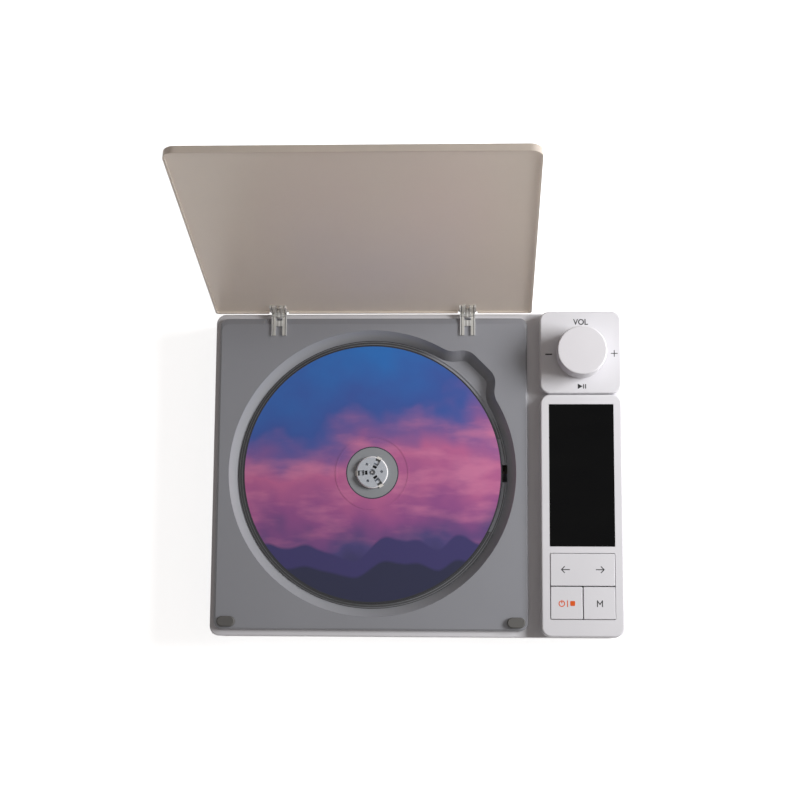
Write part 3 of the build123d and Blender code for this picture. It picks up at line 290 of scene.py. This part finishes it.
# The six screws of the rear cover: pan heads with a cross recess, sunk in its holes.
# Zinc plated steel, each turned home a little differently by the driver.
def finish_piece(piece, name, material, body, angle=35):
    """Doubles merged, normals out, smooth within an angle, its place in its mesh, its finish, its body."""
    bpy.ops.object.select_all(action="DESELECT")
    bpy.context.view_layer.objects.active = piece
    piece.select_set(True)
    bpy.ops.object.transform_apply(location=True, rotation=True, scale=True)
    bpy.ops.object.mode_set(mode="EDIT")
    bpy.ops.mesh.select_all(action="SELECT")
    bpy.ops.mesh.remove_doubles(threshold=0.0000005)
    bpy.ops.mesh.normals_make_consistent(inside=False)
    bpy.ops.object.mode_set(mode="OBJECT")
    bpy.ops.object.shade_smooth_by_angle(angle=radians(angle))
    piece.name = name
    piece.data.materials.clear()
    piece.data.materials.append(material)
    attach(piece, body)
    bpy.ops.object.select_all(action="DESELECT")
    return piece


def join_pieces(pieces):
    """Several meshes made one."""
    bpy.ops.object.select_all(action="DESELECT")
    for piece in pieces:
        piece.select_set(True)
    bpy.context.view_layer.objects.active = pieces[0]
    bpy.ops.object.join()
    return pieces[0]


low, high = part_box("cover_screws")
head_r, head_t, shank_r, tip = 1.8 * mm, 1.3 * mm, 1.0 * mm, high.z - low.z
recess, recess_edge = (2.0 * mm, 0.4 * mm, 1.5 * mm), 0.06 * mm
head_round, tip_edge = 0.25 * mm, 0.3 * mm
bpy.ops.mesh.primitive_cylinder_add(vertices=48, radius=head_r, depth=head_t, location=(0, 0, head_t / 2))
cover_screw = bpy.context.object
pick_faces(cover_screw, lambda face: face.normal.z < -0.9)
bpy.ops.mesh.bevel(offset=head_round, segments=4)
bpy.ops.object.mode_set(mode="OBJECT")
for turn in (0, 90):
    bpy.ops.mesh.primitive_cube_add(size=1.0, location=(0, 0, 0), rotation=(0, 0, radians(turn)), scale=recess)
    blade = bpy.context.object
    bpy.ops.object.mode_set(mode="EDIT")
    bpy.ops.mesh.select_all(action="SELECT")
    bpy.ops.mesh.bevel(offset=recess_edge, segments=1)
    bpy.ops.object.mode_set(mode="OBJECT")
    cross = cover_screw.modifiers.new("cross", "BOOLEAN")
    cross.object = blade
    cross.solver = "EXACT"
    bpy.context.view_layer.objects.active = cover_screw
    bpy.ops.object.modifier_apply(modifier="cross")
    bpy.data.objects.remove(blade)
bpy.ops.mesh.primitive_cylinder_add(vertices=32, radius=shank_r, depth=tip - head_t,
                                    location=(0, 0, (tip + head_t) / 2))
shank = bpy.context.object
pick_faces(shank, lambda face: face.normal.z > 0.9)
bpy.ops.mesh.bevel(offset=tip_edge, segments=2)
bpy.ops.object.mode_set(mode="OBJECT")
cover_screw = join_pieces([cover_screw, shank])
bpy.ops.object.transform_apply(location=True, rotation=True, scale=True)
middle_pair_x = 50.8 * mm
screw_places = [(x, y) for x in (low.x + head_r, middle_pair_x, high.x - head_r)
                for y in (low.y + head_r, high.y - head_r)]
screws = []
for count, (x, y) in enumerate(screw_places):
    screw = cover_screw.copy()
    screw.data = cover_screw.data.copy()
    bpy.context.collection.objects.link(screw)
    screw.location = (x, y, low.z)
    screw.rotation_euler = (0, 0, radians(17 + 53 * count))
    screws.append(screw)
bpy.data.objects.remove(cover_screw)
screws = finish_piece(join_pieces(screws), "cover_screw_heads", zinc_plate, "case")
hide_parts("cover_screws")


# The circuit boards, their parts, the ribbons between them and the battery pack.
# Green fibreglass boards, black mouldings, tinned film cables, a shrink-wrapped pack.
board_green = moulded("board_green", srgb(28, 84, 52), roughness=0.32, coat=0.3, grain_scale=700.0)
dress(board_green, "main_board", "control_board")
black_moulding = moulded("black_moulding", srgb(30, 30, 32), roughness=0.5)
dress(black_moulding, "audio_jack", "pickup_sled", "rod_holders", "encoder_body", "encoder_rotor",
      "rocker_pivot", "display_module", "tact_switches", "board_parts")
pack_sleeve = moulded("pack_sleeve", srgb(62, 98, 142), roughness=0.25, coat=0.3)
dress(pack_sleeve, "battery")
film_cable = moulded("film_cable", srgb(206, 198, 176), roughness=0.3)
dress(film_cable, "board_ribbon", "display_ribbon", "battery_lead")


# The gears and rack that move the pickup, cut from white acetal, and the pickup lens,
# a small moulded glass bead with a blue coating.
acetal = moulded("acetal", srgb(226, 224, 216), roughness=0.35)
dress(acetal, "sled_rack", "sled_gear", "motor_pinion")
lens_glass = moulded("lens_glass", srgb(86, 98, 140), roughness=0.06, grain=0.0, specular=0.6, coat=1.0)
dress(lens_glass, "pickup_lens")


# The deck: a grey moulded tray with the disc well, the finger notch and a sloping
# edge, and the grey cover of the mechanism in the well's floor. Satin ABS. The well's
# wall is painted paler for the light and sheen it catches, and near-black rings of
# painted shade run round the disc on its floor, where the disc's shadow falls; the thin
# gaps left between them read as lighter lines, the edges that catch light.
def between(tree, value, low, high, soft):
    """1 where a value lies between low and high, fading out over a soft margin, 0 elsewhere."""
    above = spread(tree, value, 0.0, 1.0, low - soft, low + soft)
    below = spread(tree, value, 0.0, 1.0, high + soft, high - soft)
    return arithmetic(tree, "MULTIPLY", above, below)


def vector_value(tree, operation, first, second=(0, 0, 0)):
    """The number that one sum on two vectors gives."""
    return add_node(tree, "ShaderNodeVectorMath", {0: first, 1: second}, operation=operation).outputs["Value"]


def blended(tree, share, first, second):
    """Two colours mixed by a share."""
    return add_node(tree, "ShaderNodeMix", {"Factor": share, 6: first, 7: second}, data_type="RGBA").outputs[2]


def shader_of(tree):
    """The Principled shader of a material."""
    return next(node for node in tree.nodes if node.type == "BSDF_PRINCIPLED")


deck_grey = moulded("deck_grey", srgb(134, 135, 141), roughness=0.42, grain=0.08, specular=0.8)
dress(deck_grey, "mechanism_cover")
deck_tray = deck_grey.copy()
deck_tray.name = "deck_tray"
tree = deck_tray.node_tree
disc_low, disc_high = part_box("disc")
disc_r = (disc_high.x - disc_low.x) / 2
disc_x, disc_y = (disc_low.x + disc_high.x) / 2, (disc_low.y + disc_high.y) / 2
place_mm = object_place(tree, scale=(1 / mm, 1 / mm, 1 / mm), centre=(disc_x, disc_y, disc_low.z))
height_mm = add_node(tree, "ShaderNodeSeparateXYZ", {0: place_mm}).outputs[2]
flat_mm = object_place(tree, scale=(1 / mm, 1 / mm, 0), centre=(disc_x, disc_y, 0))
radius_mm = vector_value(tree, "LENGTH", flat_mm)
way = add_node(tree, "ShaderNodeVectorMath", {0: flat_mm}, operation="NORMALIZE").outputs["Vector"]
notch_way, notch_edge = (cos(radians(45)), sin(radians(45)), 0), 0.935
to_notch = vector_value(tree, "DOT_PRODUCT", way, notch_way)
clear_of_notch = between(tree, to_notch, -2.0, notch_edge, 0.03)
lowest, floor_level, wall_foot, wall_top = -60.0, -1.05, -1.0, 4.3
at_floor = between(tree, height_mm, lowest, floor_level, 0.06)
at_wall = between(tree, height_mm, wall_foot, wall_top, 0.12)
# Painted light on the deck: near-black painted shade for the well's floor, a paler painted light for its wall.
painted_floor_shade, painted_wall_light = srgb(9, 9, 10), srgb(180, 182, 187)
shader = shader_of(tree)
tone = shader.inputs["Base Color"].links[0].from_socket
# Each ring has its inner and outer radius, the height it lies at, how strongly it shows and its colour: three rings
# of painted shade on the floor, one of painted light on the wall.
for inner, outer, level, share, colour in ((54.0, 60.68, at_floor, 0.93, painted_floor_shade),
                                           (60.84, 61.78, at_floor, 0.93, painted_floor_shade),
                                           (61.92, 62.4, at_floor, 0.93, painted_floor_shade),
                                           (62.3, 66.25, at_wall, 0.45, painted_wall_light)):
    here = arithmetic(tree, "MULTIPLY", between(tree, radius_mm, inner, outer, 0.06), level)
    here = arithmetic(tree, "MULTIPLY", here, clear_of_notch)
    tone = blended(tree, arithmetic(tree, "MULTIPLY", here, share), tone, colour)
tree.links.new(tone, shader.inputs["Base Color"])
dress(deck_tray, "deck")


# The two bumpers in the deck's front corners that the closed lid lies on. Small oval
# pads of soft moulded rubber, glued to the deck.
bumper_rubber = moulded("bumper_rubber", srgb(99, 98, 96), roughness=0.6, specular=0.3)
dress(bumper_rubber, "lid_bumpers")


# The hub the disc snaps on: a grey moulded cap on the turntable, with a white ring of
# painted highlight on its rim, three sprung claws with pale tips that hold the disc's edge,
# each with a band of painted shade where it sits down in the cap, and the motor's shaft in
# the middle, with a dark ring of painted shade on its end that stands for a bore.
hub_low, hub_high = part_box("hub_cap")
hub_x, hub_y = (hub_low.x + hub_high.x) / 2, (hub_low.y + hub_high.y) / 2
hub_top = hub_high.z
cap_r = (hub_high.x - hub_low.x) / 2


def ringed(name, rings, roughness=0.3, metallic=0.0):
    """A finish in rings round the hub's axis: each (inner radius, colour), from the middle outwards."""
    material, tree = empty_material(name)
    reach = 10 * mm
    flat = object_place(tree, scale=(1 / reach, 1 / reach, 0), centre=(hub_x, hub_y, 0))
    stops = [(radius / reach, colour) for radius, colour in rings]
    spark = noise(tree, object_place(tree), 2600.0)
    surface(tree, {"Base Color": ramp(tree, vector_value(tree, "LENGTH", flat), stops, steps=True),
                   "Roughness": spread(tree, spark, roughness - 0.05, roughness + 0.05),
                   "Metallic": metallic})
    return material


hub_colour, cap_colour, painted_rim_highlight = srgb(188, 192, 200), srgb(190, 195, 203), srgb(250, 250, 250)
tip_pale, painted_hollow_shade, shaft_grey = srgb(214, 212, 206), srgb(48, 48, 50), srgb(170, 168, 170)
hub_grey = moulded("hub_grey", hub_colour, roughness=0.3, specular=0.5)
dress(hub_grey, "turntable")
# The white ring on the cap's rim is a painted highlight, where its edge catches the lamp.
cap_grey = ringed("cap_grey", [(0, cap_colour), (cap_r - 0.45 * mm, painted_rim_highlight), (cap_r - 0.02 * mm, cap_colour)])
dress(cap_grey, "hub_cap")
# The dark band on each claw is painted shade, where the claw lies down in the cap.
claw_acetal = ringed("claw_acetal", [(0, cap_colour), (5.7 * mm, painted_hollow_shade), (6.7 * mm, tip_pale)], roughness=0.2)
dress(claw_acetal, "hub_claw_1", "hub_claw_2", "hub_claw_3")
# The dark ring on the shaft's end is painted shade, standing for the hollow of a bore.
shaft_painted_bore = ringed("shaft_painted_bore", [(0, shaft_grey), (0.48 * mm, painted_hollow_shade), (0.95 * mm, zinc_colour)],
                     metallic=0.6)
dress(shaft_painted_bore, "spindle_shaft")

# Painted shade in the cap's three moulding slots: small black plugs let in their floors stand for the dark seen
# through the slots.
plug_size, plug_out, plug_drop, first_plug = (1.16 * mm, 1.86 * mm, 0.9 * mm), 2.7 * mm, 0.74 * mm, 64
plugs = []
for claw in range(3):
    turn = Matrix.Rotation(radians(first_plug + 120 * claw), 4, "Z")
    bpy.ops.mesh.primitive_cube_add(size=1.0, location=(0, 0, 0), scale=plug_size)
    plug = bpy.context.object
    bpy.ops.object.transform_apply(location=False, rotation=False, scale=True)
    pick_faces(plug, lambda face: face.normal.z > 0.9)
    bpy.ops.mesh.inset(thickness=0.12 * mm, depth=-0.1 * mm)
    bpy.ops.object.mode_set(mode="OBJECT")
    plug.data.transform(Matrix.Translation((hub_x, hub_y, 0)) @ turn
                        @ Matrix.Translation((plug_out, 0, hub_top - plug_drop)))
    plugs.append(plug)
# The plugs' near-black colour is painted shade.
painted_slot_shade = moulded("painted_slot_shade", srgb(12, 12, 13), roughness=0.7, specular=0.15)
finish_piece(join_pieces(plugs), "hub_slot_shade_plugs", painted_slot_shade, "spindle", 20)


# The disc: clear polycarbonate with a printed label above and the silver data side
# below. The label is a plain print of soft colour bands in the colours of dusk.
label, tree = empty_material("disc_label")
spot = object_place(tree, scale=(1 / disc_r, 1 / disc_r, 1 / disc_r), centre=(hub_x, hub_y, disc_high.z))
across, up, depth = add_node(tree, "ShaderNodeSeparateXYZ", {0: spot}).outputs
drawn_out = add_node(tree, "ShaderNodeMapping", {"Vector": spot, "Rotation": (0, 0, radians(-14)),
                                                 "Scale": (1.0, 3.4, 1.0)})
streaks = noise(tree, drawn_out.outputs["Vector"], 1.9, 4.0)
swirl = arithmetic(tree, "MULTIPLY", arithmetic(tree, "SUBTRACT", noise(tree, spot, 1.7, 3.0), 0.5), 0.55)
height = arithmetic(tree, "ADD", arithmetic(tree, "MULTIPLY", up, 0.5), 0.5)
height = arithmetic(tree, "ADD", height, swirl)
height = arithmetic(tree, "SUBTRACT", height, arithmetic(tree, "MULTIPLY", across, 0.08))
sky = ramp(tree, height, [(0.0, srgb(38, 40, 74)), (0.2, srgb(74, 66, 122)), (0.36, srgb(150, 82, 142)),
                          (0.5, srgb(192, 104, 152)), (0.62, srgb(128, 92, 156)), (0.76, srgb(58, 88, 164)),
                          (1.0, srgb(44, 112, 190))])
black, white = (0, 0, 0, 1), (1, 1, 1, 1)
wisp = ramp(tree, streaks, [(0.46, black), (0.66, white)])
belt = ramp(tree, height, [(0.18, black), (0.42, white), (0.56, white), (0.74, black)])
glow_share = arithmetic(tree, "MULTIPLY", arithmetic(tree, "MULTIPLY", wisp, belt), 0.75)
sky = blended(tree, glow_share, sky, srgb(214, 130, 168))
hill_line = add_node(tree, "ShaderNodeTexNoise", {"W": across, "Scale": 2.2, "Detail": 1.0},
                     noise_dimensions="1D")
hill_line = arithmetic(tree, "SUBTRACT", hill_line.outputs["Fac"], 0.5)
for level, tone, reach in ((-0.56, srgb(58, 52, 104), 0.5), (-0.72, srgb(34, 36, 66), 0.34)):
    crest = arithmetic(tree, "ADD", arithmetic(tree, "MULTIPLY", hill_line, reach), level)
    under = arithmetic(tree, "MULTIPLY", arithmetic(tree, "SUBTRACT", crest, up), 40.0)
    sky = blended(tree, spread(tree, under, 0.0, 1.0), sky, tone)
radius_mm = vector_value(tree, "LENGTH", object_place(tree, scale=(1 / mm, 1 / mm, 0), centre=(hub_x, hub_y, 0)))
clear_r, ring_half, print_r = 11.8, 0.25, 59.3
print_tone = blended(tree, arithmetic(tree, "LESS_THAN", radius_mm, clear_r), sky, srgb(146, 149, 153))
# A thin dark line at the print's inner edge is a painted shadow of the step there.
painted_step_shadow = arithmetic(tree, "COMPARE", radius_mm, clear_r + 0.1)
painted_step_shadow.node.inputs[2].default_value = ring_half
print_tone = blended(tree, painted_step_shadow, print_tone, srgb(58, 58, 70))
print_tone = blended(tree, arithmetic(tree, "GREATER_THAN", radius_mm, print_r), print_tone, srgb(40, 40, 46))
below = arithmetic(tree, "LESS_THAN", depth, -0.3 * mm / disc_r)
sleek = spread(tree, noise(tree, spot, 9.0, 3.0), 0.28, 0.38)
surface(tree, {"Base Color": blended(tree, below, print_tone, srgb(196, 198, 204)),
               "Metallic": arithmetic(tree, "MULTIPLY", below, 0.9),
               "Roughness": arithmetic(tree, "SUBTRACT", sleek, arithmetic(tree, "MULTIPLY", below, 0.2)),
               "Specular IOR Level": 0.35})
dress(label, "disc")


# The lid: one flat plate of smoked translucent acrylic, hinged at the rear of the deck.
# Light passes through it softened, and its faces are lightly polished.
def tinted_clear(name, colour, pass_through, roughness, ior=1.49, specular=0.5):
    """Clear or smoked plastic: part of the light passes, the rest comes back from its body."""
    material, tree = empty_material(name)
    haze = noise(tree, object_place(tree), 22.0, 3.0)
    surface(tree, {"Base Color": ramp(tree, haze, [(0.3, dimmed(colour, 0.985)), (0.7, dimmed(colour, 1.01))]),
                   "Roughness": spread(tree, haze, roughness - 0.03, roughness + 0.03),
                   "Transmission Weight": pass_through,
                   "IOR": ior,
                   "Specular IOR Level": specular})
    return material


smoked_acrylic = tinted_clear("smoked_acrylic", (0.81, 0.73, 0.65, 1.0), 0.38, 0.3)
dress(smoked_acrylic, "lid")


# The two hinges: a leaf on the lid and a clip on the deck, turning on a steel pin.
# Clear moulded polycarbonate. Stripes across each piece are painted light: painted highlights for its bright edges
# and painted dark lines, standing for light bent in the clear plastic.
bright, cream = (1, 1, 0.98, 1), (0.86, 0.84, 0.78, 1)
grey, line = (0.62, 0.61, 0.58, 1), (0.16, 0.155, 0.15, 1)
painted_light_stripes = [(0.0, bright), (0.08, grey), (0.36, bright), (0.46, cream), (0.76, line), (0.87, bright)]
for side in ("left", "right"):
    hinge_clear = tinted_clear(side + "_hinge_clear", white, 0.42, 0.1, 1.58, 0.8)
    tree = hinge_clear.node_tree
    clip_low, clip_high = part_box(side + "_hinge_clip")
    clip_middle, half_w = (clip_low.x + clip_high.x) / 2, (clip_high.x - clip_low.x) / 2
    across_clip = object_place(tree, scale=(1 / half_w, 0, 0), centre=(clip_middle, 0, 0))
    # The stripes are painted highlights and painted dark lines in the colour, not ribs in the shape.
    rib_bumps_and_painted_stripes = ramp(tree, vector_value(tree, "LENGTH", across_clip), painted_light_stripes, steps=True)
    tree.links.new(rib_bumps_and_painted_stripes, shader_of(tree).inputs["Base Color"])
    dress(hinge_clear, side + "_hinge_leaf", side + "_hinge_clip")


# The volume panel: a white moulded block in the upper right corner with its printed
# marks, fixed from behind. The marks are thin dark grey ink.
panel_white = moulded("panel_white", srgb(222, 221, 225), roughness=0.42)
dress(panel_white, "knob_panel", "display_panel")
grey_ink = moulded("grey_ink", srgb(40, 40, 42), roughness=0.5, grain=0.02, specular=0.3)
ink_t = 0.03 * mm


def ink_block(x, y, z, length, width, thick, turn, corner):
    """A printed block with rounded corners, centred on a point of its surface and turned."""
    bpy.ops.mesh.primitive_cube_add(size=1.0, location=(x, y, z + thick / 2), rotation=(0, 0, turn),
                                    scale=(length, width, thick))
    block = bpy.context.object
    bpy.ops.object.transform_apply(location=False, rotation=False, scale=True)
    bpy.ops.object.mode_set(mode="EDIT")
    bpy.ops.mesh.select_mode(type="EDGE")
    bpy.ops.mesh.select_all(action="DESELECT")
    shape = bmesh.from_edit_mesh(block.data)
    for edge in shape.edges:
        along = edge.verts[0].co - edge.verts[1].co
        edge.select_set(abs(along.z) > 0.9 * along.length)
    bmesh.update_edit_mesh(block.data)
    bpy.ops.mesh.bevel(offset=corner, segments=4)
    bpy.ops.object.mode_set(mode="OBJECT")
    return block


def ink_stroke(start, end, z, width=0.36 * mm):
    """One printed stroke with rounded ends, from point to point, a little thicker or thinner by its direction."""
    (x0, y0), (x1, y1) = start, end
    length, turn = sqrt((x1 - x0) ** 2 + (y1 - y0) ** 2), atan2(y1 - y0, x1 - x0)
    return ink_block((x0 + x1) / 2, (y0 + y1) / 2, z, length + width, width, ink_t * (1 + 0.12 * turn), turn,
                     width * 0.42)


def ink_word(word, x, y, z, height, width):
    """Printed capitals, centred on a point, with the given height and width."""
    bpy.ops.object.text_add(location=(0, 0, 0))
    letters = bpy.context.object
    letters.data.body = word
    letters.data.align_x = "CENTER"
    letters.data.align_y = "CENTER"
    letters.data.extrude = 0.5
    letters.data.offset = 0.018
    letters.data.resolution_u = 6
    bpy.ops.object.convert(target="MESH")
    letters = bpy.context.object
    corners = [vertex.co for vertex in letters.data.vertices]
    left, right = min(c.x for c in corners), max(c.x for c in corners)
    bottom, top = min(c.y for c in corners), max(c.y for c in corners)
    letters.data.transform(Matrix.Translation((-(left + right) / 2, -(bottom + top) / 2, 0.5)))
    letters.scale = (width / (right - left), height / (top - bottom), ink_t)
    letters.location = (x, y, z)
    return letters


panel_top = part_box("knob_panel")[1].z
vol_x, vol_y, vol_h, vol_w = 75.6 * mm, 69.45 * mm, 2.75 * mm, 6.8 * mm
minus_left, minus_right, minus_y, minus_w = 59.6 * mm, 62.2 * mm, 54.3 * mm, 0.62 * mm
plus_x, plus_y, plus_half = 90.9 * mm, 54.7 * mm, 1.4 * mm
play_x, play_y, play_r = 74.8 * mm, 39.4 * mm, 1.45 * mm
pause_half, pause_w = 0.85 * mm, 0.42 * mm
marks = [ink_word("VOL", vol_x, vol_y, panel_top, vol_h, vol_w),
         ink_stroke((minus_left, minus_y), (minus_right, minus_y), panel_top, minus_w),
         ink_stroke((plus_x - plus_half, plus_y), (plus_x + plus_half, plus_y), panel_top),
         ink_stroke((plus_x, plus_y - plus_half), (plus_x, plus_y + plus_half), panel_top)]
bpy.ops.mesh.primitive_circle_add(vertices=3, radius=play_r, fill_type="NGON",
                                  location=(play_x, play_y, panel_top), rotation=(0, 0, radians(-90)))
play = bpy.context.object
bpy.ops.object.mode_set(mode="EDIT")
bpy.ops.mesh.select_all(action="SELECT")
bpy.ops.mesh.extrude_region_move(TRANSFORM_OT_translate={"value": (0, 0, ink_t)})
bpy.ops.object.mode_set(mode="OBJECT")
marks.append(play)
for pause_x in (76.7 * mm, 77.65 * mm):
    marks.append(ink_stroke((pause_x, play_y - pause_half), (pause_x, play_y + pause_half), panel_top, pause_w))
finish_piece(join_pieces(marks), "volume_marks", grey_ink, "case", 20)


# The volume knob: a plain white turned-looking cap with a small rounded edge, moulded
# in ABS and pushed on the encoder's shaft. It turns without end and presses in.
knob_white = moulded("knob_white", srgb(225, 223, 227), roughness=0.36)
dress(knob_white, "volume_knob")


# The screen: a black-backed glass let in flush with its panel. It is off, so only its
# dark glossy face shows.
screen, tree = empty_material("screen_black")
smear = noise(tree, object_place(tree, scale=(1, 2.5, 1)), 34.0, 4.0)
surface(tree, {"Base Color": ramp(tree, smear, [(0.3, srgb(4, 4, 5)), (0.75, srgb(8, 8, 8))]),
               "Roughness": spread(tree, smear, 0.06, 0.16),
               "Specular IOR Level": 0.06})
dress(screen, "screen_glass")


# The keys: a rocker for the tracks above a power key and a mode key. White ABS like
# the panel, with marks printed in grey and in orange.
dress(panel_white, "track_rocker", "power_button", "mode_button")
key_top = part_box("track_rocker")[1].z
arrow_y, arrow_head, thin_line = -44.3 * mm, 1.35 * mm, 0.4 * mm
track_strokes = []
for tip_x, tail_x in ((65.95 * mm, 69.5 * mm), (85.1 * mm, 81.6 * mm)):
    back_x = tip_x + (arrow_head if tail_x > tip_x else -arrow_head)
    track_strokes.append(ink_stroke((tip_x, arrow_y), (tail_x, arrow_y), key_top, thin_line))
    for side in (-arrow_head, arrow_head):
        track_strokes.append(ink_stroke((tip_x, arrow_y), (back_x, arrow_y + side), key_top, thin_line))
finish_piece(join_pieces(track_strokes), "track_marks", grey_ink, "track_key", 20)

mode_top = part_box("mode_button")[1].z
m_x, m_y, m_half, m_up, m_dip, m_stem = 83.05 * mm, -59.5 * mm, 1.12 * mm, 1.3 * mm, 0.35 * mm, 0.42 * mm
m_points = [(m_x - m_half, m_y - m_up), (m_x - m_half, m_y + m_up), (m_x, m_y - m_dip),
            (m_x + m_half, m_y + m_up), (m_x + m_half, m_y - m_up)]
m_strokes = [ink_stroke(start, end, mode_top, width) for start, end, width
             in zip(m_points, m_points[1:], (m_stem, thin_line, thin_line, m_stem))]
finish_piece(join_pieces(m_strokes), "mode_mark", grey_ink, "mode_key", 20)

orange_ink = moulded("orange_ink", srgb(222, 92, 30), roughness=0.5, grain=0.02, specular=0.3)
power_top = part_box("power_button")[1].z
power_x, power_y, power_r, line_w, ring_gap = 66.0 * mm, -59.55 * mm, 1.22 * mm, 0.46 * mm, 28
bar_x, bar_half, stop_x, stop_y = 68.55 * mm, 1.3 * mm, 70.84 * mm, power_y + 0.1 * mm
stop_w, stop_h, stop_corner = 2.2 * mm, 2.25 * mm, 0.45 * mm
bpy.ops.mesh.primitive_cube_add(size=1.0, location=(power_x, power_y, power_top + ink_t / 2),
                                scale=(line_w, line_w, ink_t))
ring = bpy.context.object
bpy.ops.object.transform_apply(location=False, rotation=False, scale=True)
ring.data.transform(Matrix.Rotation(radians(ring_gap), 4, "Z") @ Matrix.Translation((0, power_r, 0)))
back_turn = Matrix.Rotation(radians(-ring_gap), 3, "Z")
pick_faces(ring, lambda face: (back_turn @ face.normal).x < -0.9)
bpy.ops.mesh.spin(steps=36, angle=radians(2 * ring_gap - 360), center=(power_x, power_y, power_top), axis=(0, 0, 1))
bpy.ops.object.mode_set(mode="OBJECT")
power_strokes = [ring,
                 ink_stroke((power_x, power_y + 0.35 * mm), (power_x, power_y + 1.4 * mm), power_top, line_w),
                 ink_stroke((bar_x, power_y - bar_half), (bar_x, power_y + bar_half), power_top, thin_line),
                 ink_block(stop_x, stop_y, power_top, stop_w, stop_h, ink_t, 0, stop_corner)]
finish_piece(join_pieces(power_strokes), "power_marks", orange_ink, "power_key", 20)
